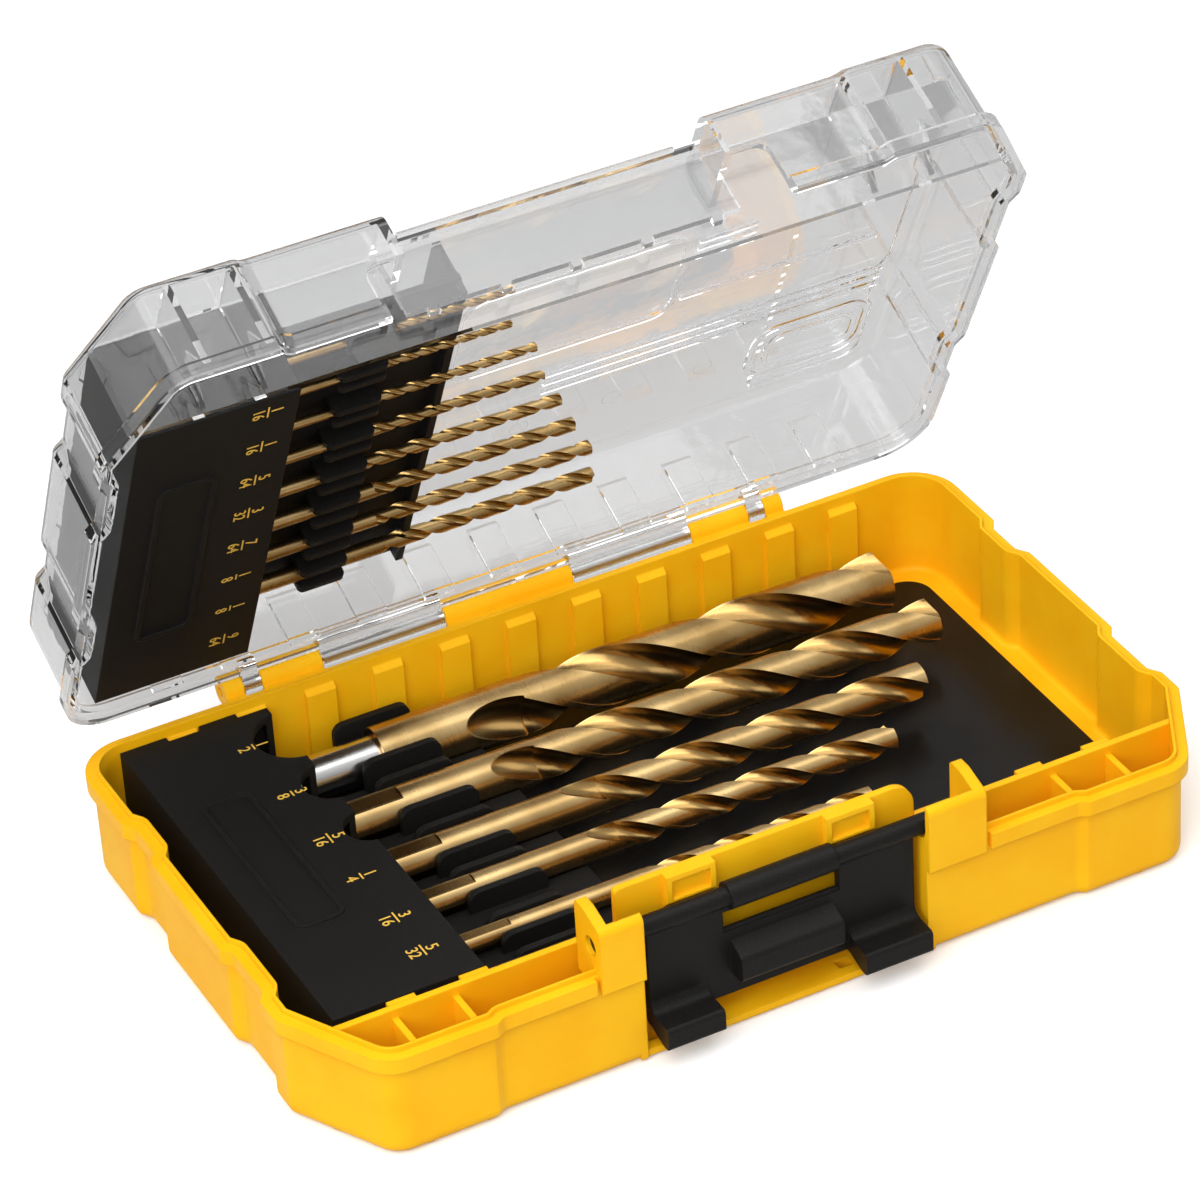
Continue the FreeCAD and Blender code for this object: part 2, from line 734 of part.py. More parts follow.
def lid_divider():
    near = front + lid_divider_setback
    far = near + lid_divider_thickness
    reach = half_length - lid_skin + lid_wall / 2
    pieces = [block(-reach, reach, near, far, lid_rim, lid_inner_top + lid_top_thickness / 2)]
    low = lid_rim + lid_well_rib_rise
    notch_top = low + lid_well_notch
    front_inner = front + lid_wall
    for share in well_rib_shares:
        x = share * half_length
        shape = plain([(front_inner, low), ((front_inner + near) / 2, notch_top),
                       (near + lid_divider_thickness / 2, low),
                       (near + lid_divider_thickness / 2, lid_inner_top + lid_top_thickness / 2),
                       (front_inner, lid_inner_top + lid_top_thickness / 2)])
        pieces.append(profile_along_x(shape, x - well_rib_thickness / 2, x + well_rib_thickness / 2))
    return fuse_all(pieces).common(prism(inset(outline, flange_reach + lid_wall / 2), 0, lid_top))


def frame_rib(x0, x1, y0, y1, corner, z, height, width):
    outer = [(x0, y0, corner), (x1, y0, corner), (x1, y1, corner), (x0, y1, corner)]
    inner = [(x0 + width, y0 + width, corner - width), (x1 - width, y0 + width, corner - width),
             (x1 - width, y1 - width, corner - width), (x0 + width, y1 - width, corner - width)]
    return prism(outer, z, z + height).cut(prism(inner, z - overrun, z + overrun))


def lid_panel_ribs():
    # Low ribs inside the top panel: a bare plaque, a double window frame and straight lines.
    low = lid_inner_top - lid_panel_rib_height
    height = lid_panel_rib_height + lid_top_thickness / 2
    pieces = []
    frames = ((plaque_shares, plaque_corner), (window_shares, window_frame_corner),
              (window_inner_shares, window_inner_corner))
    for shares, corner in frames:
        left, right, near, far = shares
        pieces.append(frame_rib(left * half_length, right * half_length, front + near * case_depth,
                                front + far * case_depth, corner, low, height, lid_panel_rib_width))
    for left, right, near in panel_rib_shares:
        y = front + near * case_depth
        pieces.append(block(left * half_length, right * half_length, y, y + lid_panel_rib_width,
                            low, low + height))
    return pieces


def lid_pads():
    # Upright pads on the inside of the hinge wall, in line with the tub's.
    inner = back - lid_skin
    top = lid_rim + lid_pad_rise
    pieces = []
    for number in range(-pad_count_each_side, pad_count_each_side + 1):
        x = number * pad_pitch
        shape = plain([(inner + lid_wall / 2, lid_rim), (inner - lid_pad_depth, lid_rim),
                       (inner - lid_pad_depth, top - pad_slope), (inner, top), (inner + lid_wall / 2, top)])
        pieces.append(profile_along_x(shape, x - pad_width / 2, x + pad_width / 2))
    return pieces


def lid_knuckles():
    bore = pin_radius + knuckle_clearance
    pieces = []
    for first, last in ((centre_barrel_half, wide_knuckle_end), (base_knuckle_end, thin_knuckle_end)):
        for side in (-1, 1):
            x0, x1 = sorted((side * (first + knuckle_gap), side * last))
            pieces.append(knuckle(x0, x1, hinge_z, hinge_z + hinge_web, bore))
    return pieces


def lid_shell():
    body = lid_box().cut([lid_room(), lid_recess()])
    body = fuse_all([body, lid_divider()] + lid_panel_ribs() + lid_pads() + lid_knuckles())
    body = body.cut(lid_mouth())
    rebate_height = lid_rim + lip_height + lip_clearance
    rebate = prism(inset(outline, skin - lip_thickness - lip_clearance), lid_rim - overrun, rebate_height)
    body = body.cut(rebate)
    return swung(fuse_all([body] + lid_front_details()))


# Twist drills, each built along X from its shank end

def land_angle(radius, cutter, offset):
    # Angle at which a flute's arc meets a circle of the given radius about the drill's axis.
    half = (radius * radius + offset * offset - cutter * cutter) / (2 * radius * offset)
    return atan2(sqrt(1 - half * half), half)


def drill_section(diameter):
    # Two flutes and two lands, each land with a margin at full radius and the rest relieved.
    radius = diameter / 2
    relieved = radius * (1 - land_relief_share)
    cutter = flute_cutter_share * diameter
    offset = cutter + web_share * diameter
    first = land_angle(relieved, cutter, offset)
    last = pi - land_angle(radius, cutter, offset)
    step = last - radians(margin_angle)
    edges = []
    for side in (1, -1):
        def at(distance, angle):
            return V(0, side * distance * cos(angle), side * distance * sin(angle))
        relief = Part.Arc(at(relieved, first), at(relieved, (first + step) / 2), at(relieved, step))
        margin = Part.Arc(at(radius, step), at(radius, (step + last) / 2), at(radius, last))
        root = V(0, side * (cutter - offset), 0)
        flute = Part.Arc(at(radius, last), root, at(-relieved, first))
        edges += [relief.toShape(), Part.makeLine(at(relieved, step), at(radius, step)),
                  margin.toShape(), flute.toShape()]
    return Part.Wire(edges)


def fluted_length(diameter, x0, x1):
    # Section swept along the axis while a helix beside it sets the twist.
    spine = Part.Wire(Part.makeLine(V(0, 0, 0), V(x1 - x0, 0, 0)))
    guide = Part.makeHelix(flute_pitch_share * diameter, x1 - x0, diameter)
    guide.rotate(V(0, 0, 0), V(0, 1, 0), 90)
    sweep = Part.BRepOffsetAPI.MakePipeShell(spine)
    sweep.setAuxiliarySpine(Part.Wire(guide.Edges), True, 0)
    sweep.add(drill_section(diameter))
    sweep.build()
    sweep.makeSolid()
    body = sweep.shape()
    body.translate(V(x0, 0, 0))
    return body


def turned_shank(diameter, x0, x1, end_chamfer):
    radius = diameter / 2
    points = [V(x0, 0, 0), V(x0, radius - end_chamfer, 0), V(x0 + end_chamfer, radius, 0),
              V(x1, radius, 0), V(x1, 0, 0), V(x0, 0, 0)]
    face = Part.Face(Part.makePolygon(points))
    return face.revolve(V(0, 0, 0), V(1, 0, 0), 360)


def runout_length(diameter):
    # How far the grinding wheel travels between full depth and the shank's surface.
    cutter = flute_cutter_share * diameter
    wheel = runout_wheel_share * diameter
    exit_height = cutter + web_share * diameter + wheel - diameter / 2
    return sqrt((wheel + cutter) ** 2 - exit_height ** 2)


def runout_cutters(diameter, x, turn):
    # Paths on which the wheel curves out of the two flutes, back from full depth.
    cutter = flute_cutter_share * diameter
    offset = cutter + web_share * diameter
    pivot = V(x, offset + runout_wheel_share * diameter, 0)
    rim = Part.makeCircle(cutter * (1 + runout_excess_share), V(x, offset, 0), V(1, 0, 0))
    face = Part.Face(Part.Wire(rim))
    face.rotate(pivot, V(0, 0, 1), runout_lead_angle)
    cutters = []
    for side in (0, 0.5):
        path = face.revolve(pivot, V(0, 0, 1), -runout_angle)
        path.rotate(V(x, 0, 0), V(0, 1, 0), -runout_tilt)
        path.rotate(V(0, 0, 0), V(1, 0, 0), 360 * (turn + side))
        cutters.append(path)
    return cutters


def point_waste(diameter, x1):
    # What the grinding wheel takes off outside the conical point.
    radius = diameter / 2
    behind = x1 - diameter / tan(radians(point_half_angle))
    points = [V(x1, 0, 0), V(behind, diameter, 0), V(behind, 2 * diameter, 0),
              V(x1 + radius, 2 * diameter, 0), V(x1 + radius, 0, 0), V(x1, 0, 0)]
    face = Part.Face(Part.makePolygon(points))
    return face.revolve(V(0, 0, 0), V(1, 0, 0), 360)


def shank_flats(diameter, x0):
    # Three flats at the shank end that a chuck's jaws bear on.
    flat_end = x0 + shank_flat_length_share * half_length
    cutters = []
    for angle in (0, 120, 240):
        cutter = block(x0 - overrun, flat_end, -diameter, diameter, shank_flat_share * diameter / 2, diameter)
        cutter.rotate(V(0, 0, 0), V(1, 0, 0), angle)
        cutters.append(cutter)
    return cutters


def twist_drill(diameter, tip_share, start_share, flute_share, turn):
    # Lies on the X axis. The smallest drills' flutes end bluntly.
    x0 = start_share * half_length
    full_depth = flute_share * half_length
    runs_out = diameter > least_runout_diameter
    if runs_out:
        full_depth += runout_length(diameter)
    shank = turned_shank(diameter, x0, full_depth, shank_chamfer_share * diameter)
    if runs_out:
        shank = shank.cut(runout_cutters(diameter, full_depth, turn))
    if diameter / 2 >= largest_bit_radius:
        collar = collar_share * half_length
        ring = tube_along_x(x0 - overrun, collar, 0, 0, diameter)
        core = tube_along_x(x0 - 2 * overrun, collar + overrun, 0, 0, reduced_shank_diameter / 2)
        shank = shank.cut(ring.cut(core))
    elif diameter > least_flat_diameter:
        shank = shank.cut(shank_flats(diameter, x0))
    x1 = tip_share * half_length
    fluted = fluted_length(diameter, full_depth, x1).cut(point_waste(diameter, x1))
    fluted.rotate(V(0, 0, 0), V(1, 0, 0), 360 * turn)
    return shank.fuse(fluted)


def bit_y(depth_share):
    return front + depth_share * case_depth


def base_bit(diameter, depth_share, tip_share, start_share, flute_share, turn):
    drill = twist_drill(diameter, tip_share, start_share, flute_share, turn)
    drill.translate(V(0, bit_y(depth_share), base_bit_z))
    return drill


def lid_bit(diameter, depth_share, tip_share, start_share, flute_share, turn):
    drill = twist_drill(diameter, tip_share, start_share, flute_share, turn)
    drill.translate(V(0, bit_y(depth_share), lid_bit_z))
    return swung(drill)


# Card on the floor of the tub

def floor_card():
    reach = half_length - skin - end_groove_depth - card_margin
    near = divider_back + card_front_clearance
    far = back - skin - pad_depth - card_margin
    corners = [(-reach, near, card_corner), (reach, near, card_corner), (reach, far, card_corner),
               (-reach, far, card_corner)]
    return prism(corners, floor_thickness, card_top)


# Bit holder in the tub

def shank_diameter(diameter):
    return reduced_shank_diameter if diameter / 2 >= largest_bit_radius else diameter


def clip_pair(diameter, y, seat, tip, x0, x1, corner):
    # Two fingers, one on each side of a drill, rounded at the tip.
    pieces = []
    reach = diameter / 2 + clip_clearance
    low, high = min(seat, tip), max(seat, tip)
    round_low = corner if tip < seat else 0
    round_high = corner if tip > seat else 0
    for side in (-1, 1):
        y0, y1 = sorted((y + side * reach, y + side * (reach + clip_thickness)))
        shape = [(x0, low, round_low), (x1, low, round_low), (x1, high, round_high), (x0, high, round_high)]
        pieces.append(profile_along_y(shape, y0, y1))
    return pieces


def cover_frame(shares, z, height):
    # Raised plain frame on a holder's cover.
    left, right, near, far = shares
    return frame_rib(left * half_length, right * half_length, front + near * case_depth,
                     front + far * case_depth, clip_corner, z, height, cover_frame_width)


def cover_notch_boxes(y0, y1):
    # Room in the holder's edges for the tub's pads and tabs.
    boxes = []
    half = pad_width / 2 + holder_back_gap
    for number in tab_pad_numbers:
        x = -number * pad_pitch
        boxes.append(block(x - half, x + half, y0, y1, 0, base_height))
    return boxes


def strip_pockets():
    # Hollows under the strip, one between each two neighbouring drills.
    boxes = []
    side = clip_clearance + strip_thickness
    for wider, narrower in zip(base_bit_shares, base_bit_shares[1:]):
        near = bit_y(narrower[2]) + narrower[1] / 2 + side
        far = bit_y(wider[2]) - wider[1] / 2 - side
        boxes.append(block(cover_right + strip_thickness, strip_right - strip_thickness, near, far, 0,
                           strip_top - strip_thickness))
    return boxes


def base_bit_holder():
    cover = block(cover_left, cover_right, holder_front, holder_back, card_top, cover_top)
    inner = block(cover_left + skirt_thickness, cover_right - pocket_wall_thickness,
                  holder_front + skirt_thickness, holder_back - skirt_thickness - pad_depth,
                  0, cover_top - cover_thickness)
    for row in base_bit_shares[:arched_bit_count]:
        half = row[1] / 2 * cover_arch_scale
        x = cover_right + half - half * cover_arch_depth_share
        cover = cover.cut(Part.makeCylinder(half, cover_top, V(x, bit_y(row[2]), base_bit_z)))
    strip = block(cover_right - pocket_wall_thickness, strip_right, holder_front, holder_back - pad_depth * 2,
                  card_top, strip_top)
    pieces = [cover.cut(inner), strip.cut(strip_pockets()),
              cover_frame(cover_frame_shares, cover_top - cover_thickness / 2,
                          cover_thickness / 2 + cover_frame_height)]
    cutters = cover_notch_boxes(holder_back - pad_depth - holder_back_gap, holder_back + overrun)
    cutters += cover_notch_boxes(holder_front - overrun, divider_back + tab_depth + holder_back_gap)
    for row in base_bit_shares:
        diameter = row[1]
        y = bit_y(row[2])
        pieces += clip_pair(diameter, y, card_top, base_bit_z + clip_top_share * diameter / 2,
                            clip_left_share * half_length, clip_right_share * half_length, clip_corner)
        shank = shank_diameter(diameter) / 2 + pocket_clearance
        cutters.append(tube_along_x(cover_right - pocket_wall_thickness - overrun, cover_right, y,
                                    base_bit_z, shank))
        cutters.append(tube_along_x(cover_right - least_radius, strip_right + overrun, y, base_bit_z,
                                    diameter / 2 + clip_clearance))
    return fuse_all(pieces).cut(cutters)


# Bit holder in the lid

def lid_bit_holder():
    near = front + lid_divider_setback + lid_divider_thickness + holder_back_gap
    far = back - lid_holder_back_gap
    end_near = lid_recess_y + lid_recess_ledge_depth + lid_wall + holder_back_gap
    low = lid_rim + lid_cover_gap
    strip_low = lid_bit_z + lid_bit_shares[-1][1] / 2 + lid_strip_gap
    cover = block(lid_cover_left, lid_cover_right, near, far, low, lid_inner_top)
    inner = block(lid_cover_left + skirt_thickness, lid_cover_right - pocket_wall_thickness,
                  near + skirt_thickness, far - skirt_thickness,
                  low + cover_thickness, lid_inner_top + overrun)
    strip = block(lid_cover_right - pocket_wall_thickness, lid_strip_right, near, far,
                  strip_low, strip_low + strip_thickness)
    end_wall = block(lid_strip_right - strip_thickness, lid_strip_right, end_near, far,
                     lid_bit_z, lid_inner_top)
    pieces = [cover.cut(inner), strip, end_wall,
              cover_frame(lid_cover_frame_shares, low - cover_frame_height,
                          cover_frame_height + cover_thickness / 2)]
    cutters = []
    for row in lid_bit_shares:
        diameter = row[1]
        y = bit_y(row[2])
        tip_z = lid_bit_z - diameter / 2 - lid_clip_over_bit
        pieces += clip_pair(diameter, y, strip_low + strip_thickness, tip_z,
                            lid_clip_left_share * half_length, lid_clip_right_share * half_length,
                            lid_clip_corner)
        cutters.append(tube_along_x(lid_cover_right - pocket_wall_thickness - overrun,
                                    lid_strip_right + overrun, y, lid_bit_z, diameter / 2 + clip_clearance))
    return swung(fuse_all(pieces).cut(cutters))


def write_node(name, shape):
    solids = shape.Solids
    solid = solids[0] if len(solids) == 1 else Part.makeCompound(solids)
    print(name, "solids", len(solids), "valid", shape.isValid(), "volume", round(shape.Volume, 1))
    solid.exportStep("parts/" + name + ".step")


def main():
    os.makedirs("parts", exist_ok=True)
    write_node("base_shell", base_shell())
    write_node("hinge_pin_left", hinge_pin(-1))
    write_node("hinge_pin_right", hinge_pin(1))
    write_node("latch", latch())
    write_node("floor_card", floor_card())
    write_node("base_bit_holder", base_bit_holder())
    write_node("lid_shell", lid_shell())
    write_node("lid_bit_holder", lid_bit_holder())
    for name, *sizes in base_bit_shares:
        write_node(name, base_bit(*sizes))
    for name, *sizes in lid_bit_shares:
        write_node(name, lid_bit(*sizes))


main()
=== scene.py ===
"""Finishes the drill bit case: plastics, gold drills, size numbers, trim and a plain studio."""

import json
import math
from collections import namedtuple

import bmesh
import bpy
from mathutils import Matrix, Vector


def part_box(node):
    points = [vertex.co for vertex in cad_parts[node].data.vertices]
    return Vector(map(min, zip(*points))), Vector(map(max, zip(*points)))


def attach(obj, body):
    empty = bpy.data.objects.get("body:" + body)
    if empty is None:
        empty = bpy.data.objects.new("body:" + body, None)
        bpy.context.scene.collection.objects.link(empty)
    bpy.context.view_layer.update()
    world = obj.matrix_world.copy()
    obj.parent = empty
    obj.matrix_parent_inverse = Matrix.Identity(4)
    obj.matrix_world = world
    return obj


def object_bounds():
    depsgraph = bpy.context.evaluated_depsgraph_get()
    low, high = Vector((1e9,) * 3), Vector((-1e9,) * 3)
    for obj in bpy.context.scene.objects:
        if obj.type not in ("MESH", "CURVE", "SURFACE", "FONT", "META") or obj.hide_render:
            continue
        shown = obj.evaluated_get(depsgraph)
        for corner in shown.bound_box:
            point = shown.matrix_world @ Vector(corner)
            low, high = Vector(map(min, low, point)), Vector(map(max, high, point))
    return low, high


bl_info = {
    "name": "Drill bit case",
    "version": (1, 0, 0),
    "blender": (4, 5, 0),
    "location": "View3D > Sidebar > Drill bit case",
    "description": "Finishes, prints and lights the drill bit case",
    "category": "Object",
}

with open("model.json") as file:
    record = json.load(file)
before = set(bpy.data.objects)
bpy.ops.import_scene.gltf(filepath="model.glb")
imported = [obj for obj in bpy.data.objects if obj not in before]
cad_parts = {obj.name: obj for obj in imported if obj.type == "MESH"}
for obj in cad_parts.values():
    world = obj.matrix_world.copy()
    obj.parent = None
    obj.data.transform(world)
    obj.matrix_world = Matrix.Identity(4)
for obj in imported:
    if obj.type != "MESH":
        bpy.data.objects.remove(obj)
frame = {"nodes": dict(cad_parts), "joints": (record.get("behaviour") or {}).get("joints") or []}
cad_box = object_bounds()

BIG_DRILLS = ("1_2_inch", "3_8_inch", "5_16_inch", "1_4_inch", "3_16_inch", "5_32_inch")
SMALL_DRILLS = (
    "1_16_inch_a", "1_16_inch_b", "5_64_inch", "3_32_inch", "7_64_inch", "1_8_inch_a", "1_8_inch_b",
    "9_64_inch")


# Colours, finishes and sizes that a user would change


class CaseColours(bpy.types.PropertyGroup):
    yellow: bpy.props.FloatVectorProperty(
        name="Tub yellow", description="Colour of the moulded tub",
        default=(0.97, 0.52, 0.008), subtype="COLOR", min=0, max=1)
    yellow_shade: bpy.props.FloatVectorProperty(
        name="Tub yellow, deep", description="Deeper yellow where the pigment is dense",
        default=(0.955, 0.475, 0.005), subtype="COLOR", min=0, max=1)
    black: bpy.props.FloatVectorProperty(
        name="Black plastic", description="Colour of the holders and latch",
        default=(0.009, 0.0085, 0.008), subtype="COLOR", min=0, max=1)
    black_grain: bpy.props.FloatVectorProperty(
        name="Black grain", description="Lighter specks of the black plastic's grain",
        default=(0.017, 0.016, 0.0145), subtype="COLOR", min=0, max=1)
    card: bpy.props.FloatVectorProperty(
        name="Floor card", description="Colour of the card on the tub's floor",
        default=(0.006, 0.0052, 0.0045), subtype="COLOR", min=0, max=1)
    clear: bpy.props.FloatVectorProperty(
        name="Clear plastic", description="Tint of the lid's polycarbonate",
        default=(0.955, 0.957, 0.96), subtype="COLOR", min=0, max=1)
    coating: bpy.props.FloatVectorProperty(
        name="Drill coating", description="Gold of the ground lands and shanks",
        default=(0.6, 0.42, 0.19), subtype="COLOR", min=0, max=1)
    # Deep bronze for random patches of the coating, and also a painted shade over the whole of each
    # drill's flutes
    coating_deep_and_flute_shade: bpy.props.FloatVectorProperty(
        name="Drill coating, deep", description="Bronze where the coating is thicker",
        default=(0.36, 0.225, 0.08), subtype="COLOR", min=0, max=1)
    bright_steel: bpy.props.FloatVectorProperty(
        name="Bright steel", description="Ground steel with no coating",
        default=(0.62, 0.62, 0.61), subtype="COLOR", min=0, max=1)
    number_paint: bpy.props.FloatVectorProperty(
        name="Number paint", description="Colour of the printed drill sizes",
        default=(0.83, 0.5, 0.07), subtype="COLOR", min=0, max=1)
    floor: bpy.props.FloatVectorProperty(
        name="Floor", description="Colour of the pale floor where it is seen",
        default=(0.98, 0.98, 0.98), subtype="COLOR", min=0, max=1)
    floor_bounce: bpy.props.FloatVectorProperty(
        name="Floor bounce", description="Colour of the floor in mirrors, glass and thrown light",
        default=(0.6, 0.6, 0.6), subtype="COLOR", min=0, max=1)


class SurfaceSizes(bpy.types.PropertyGroup):
    edge_round: bpy.props.FloatProperty(
        name="Edge rounding", description="Radius that softens the moulded edges",
        default=0.00045, min=0, unit="LENGTH")
    moulding_grain: bpy.props.FloatProperty(
        name="Moulding grain", description="Size of the etched grain of the plastics",
        default=0.0003, min=0, unit="LENGTH")
    flow_patch: bpy.props.FloatProperty(
        name="Flow patch", description="Size of the soft unevenness of moulded walls",
        default=0.014, min=0, unit="LENGTH")
    grinding_line: bpy.props.FloatProperty(
        name="Grinding line", description="Pitch of the grinding lines round a drill",
        default=0.00018, min=0, unit="LENGTH")
    tub_grain_depth: bpy.props.FloatProperty(
        name="Tub grain depth", description="Depth of the etched grain of the tub",
        default=0.00002, min=0, unit="LENGTH")
    holder_grain_depth: bpy.props.FloatProperty(
        name="Holder grain depth", description="Depth of the etched grain of the holders",
        default=0.00003, min=0, unit="LENGTH")
    latch_grain_depth: bpy.props.FloatProperty(
        name="Latch grain depth", description="Depth of the etched grain of the latch",
        default=0.000015, min=0, unit="LENGTH")
    print_grain_depth: bpy.props.FloatProperty(
        name="Print grain depth", description="Unevenness of the size numbers and of bare ground steel",
        default=0.00001, min=0, unit="LENGTH")
    card_fibre_depth: bpy.props.FloatProperty(
        name="Card fibre depth", description="Unevenness of the card's glossy print",
        default=0.000008, min=0, unit="LENGTH")
    grinding_depth: bpy.props.FloatProperty(
        name="Grinding depth", description="Depth of the grinding lines of the drills",
        default=0.000004, min=0, unit="LENGTH")
    flow_depth: bpy.props.FloatProperty(
        name="Flow depth", description="Height of the soft unevenness of moulded walls",
        default=0.0006, min=0, unit="LENGTH")
    flow_strength: bpy.props.FloatProperty(
        name="Flow strength", description="How clearly that unevenness bends the light",
        default=0.12, min=0, max=1, subtype="FACTOR")
    heat_patch: bpy.props.FloatProperty(
        name="Heat patch", description="Size of the patches of deeper tone on the drills' coating",
        default=0.011, min=0, unit="LENGTH")
    land_edge_share: bpy.props.FloatProperty(
        name="Land edge", description="Share of a drill's radius where its lands begin",
        default=0.93, min=0, max=1, subtype="FACTOR")
    land_full_share: bpy.props.FloatProperty(
        name="Land finish", description="Share of the radius from which the lands' finish is full",
        default=0.96, min=0, max=1, subtype="FACTOR")


class NumberSizes(bpy.types.PropertyGroup):
    digit_height: bpy.props.FloatProperty(
        name="Digit height", description="Height of one printed digit",
        default=0.0026, min=0, unit="LENGTH")
    digit_weight: bpy.props.FloatProperty(
        name="Digit weight", description="How far a digit's strokes are thickened, in letter heights",
        default=0.005, min=0, max=0.1, subtype="FACTOR")
    digit_narrowing: bpy.props.FloatProperty(
        name="Digit narrowing", description="Width of a digit as a share of the plain letter",
        default=0.9, min=0.1, max=2, subtype="FACTOR")
    bar_height: bpy.props.FloatProperty(
        name="Bar height", description="Thickness of the fraction bar",
        default=0.00034, min=0, unit="LENGTH")
    bar_gap: bpy.props.FloatProperty(
        name="Bar gap", description="Space between the bar and each digit",
        default=0.0005, min=0, unit="LENGTH")
    bar_overhang: bpy.props.FloatProperty(
        name="Bar overhang", description="Length of the bar past the widest digits",
        default=0.0002, min=0, unit="LENGTH")
    paint_height: bpy.props.FloatProperty(
        name="Paint height", description="How far the print stands off the cover",
        default=0.00005, min=0, unit="LENGTH")
    base_column: bpy.props.FloatProperty(
        name="Tub column", description="Place of the tub's numbers along the case",
        default=-0.0677, unit="LENGTH")
    lid_column: bpy.props.FloatProperty(
        name="Lid column", description="Place of the lid's numbers along the case",
        default=-0.0672, unit="LENGTH")


class StudioSettings(bpy.types.PropertyGroup):
    floor_width: bpy.props.FloatProperty(
        name="Floor width", description="Side of the square floor",
        default=6.0, min=0, unit="LENGTH")
    floor_patch: bpy.props.FloatProperty(
        name="Floor patch", description="Size of the faint unevenness of the floor",
        default=0.4, min=0, unit="LENGTH")
    key_place: bpy.props.FloatVectorProperty(
        name="Key place", description="Place of the soft box above, in case lengths",
        default=(-0.5, -0.3, 5.2))
    key_width: bpy.props.FloatProperty(
        name="Key width", description="Side of the soft box above, in case lengths", default=6.0, min=0)
    key_strength: bpy.props.FloatProperty(
        name="Key light", description="Power of the large soft box above",
        default=7.6, min=0, unit="POWER")
    front_place: bpy.props.FloatVectorProperty(
        name="Front place", description="Place of the soft box in front, in case lengths",
        default=(-2.9, -2.9, 3.6))
    front_width: bpy.props.FloatProperty(
        name="Front width", description="Side of the soft box in front, in case lengths",
        default=4.0, min=0)
    front_strength: bpy.props.FloatProperty(
        name="Front light", description="Power of the soft box in front, to the left",
        default=7.4, min=0, unit="POWER")
    left_place: bpy.props.FloatVectorProperty(
        name="Left place", description="Place of the soft box at the left, in case lengths",
        default=(-5.0, -1.2, 2.6))
    right_place: bpy.props.FloatVectorProperty(
        name="Right place", description="Place of the soft box at the right, in case lengths",
        default=(4.6, -2.4, 2.2))
    side_width: bpy.props.FloatProperty(
        name="Side width", description="Side of each soft box at the sides, in case lengths",
        default=3.0, min=0)
    side_strength: bpy.props.FloatProperty(
        name="Side light", description="Power of each soft box at the sides",
        default=1.5, min=0, unit="POWER")
    room_strength: bpy.props.FloatProperty(
        name="Room light", description="Strength of the light all round",
        default=0.4, min=0)
    lid_view: bpy.props.FloatProperty(
        name="Room through the lid", description="How bright the room is seen through clear plastic",
        default=0.62, min=0)
    floor_glow: bpy.props.FloatProperty(
        name="Floor glow", description="Light that keeps the seen floor white far from the lamps",
        default=0.15, min=0)
    mirrored_horizon: bpy.props.FloatProperty(
        name="Mirrored horizon", description="How bright glossy faces see the room at its sides",
        default=0.2, min=0)
    mirrored_ceiling: bpy.props.FloatProperty(
        name="Mirrored ceiling", description="How bright glossy faces see the room above",
        default=1.0, min=0)
    photo_width: bpy.props.FloatProperty(
        name="Photograph width", description="Width of the assumed square image in pixels",
        default=1200, min=1, subtype="PIXEL")
    focal_pixels: bpy.props.FloatProperty(
        name="Focal length", description="Focal length in pixels of that image",
        default=5425.8, min=1, subtype="PIXEL")
    sensor_width: bpy.props.FloatProperty(
        name="Sensor width", description="Width of the camera's sensor in millimetres",
        default=36, min=1)
    camera_place: bpy.props.FloatVectorProperty(
        name="Camera place", description="Where the camera stands",
        default=(-0.39283, -0.79394, 0.67419), subtype="TRANSLATION", unit="LENGTH")
    camera_heading: bpy.props.FloatProperty(
        name="Heading", description="Turn of the view from +Y towards +X",
        default=math.radians(25.79), unit="ROTATION")
    camera_fall: bpy.props.FloatProperty(
        name="Downward angle", description="Angle of the view below the horizon",
        default=math.radians(34.61), unit="ROTATION")
    camera_roll: bpy.props.FloatProperty(
        name="Roll", description="Turn of the camera about its own axis",
        default=math.radians(-3.676), unit="ROTATION")


# Small helpers for shader trees


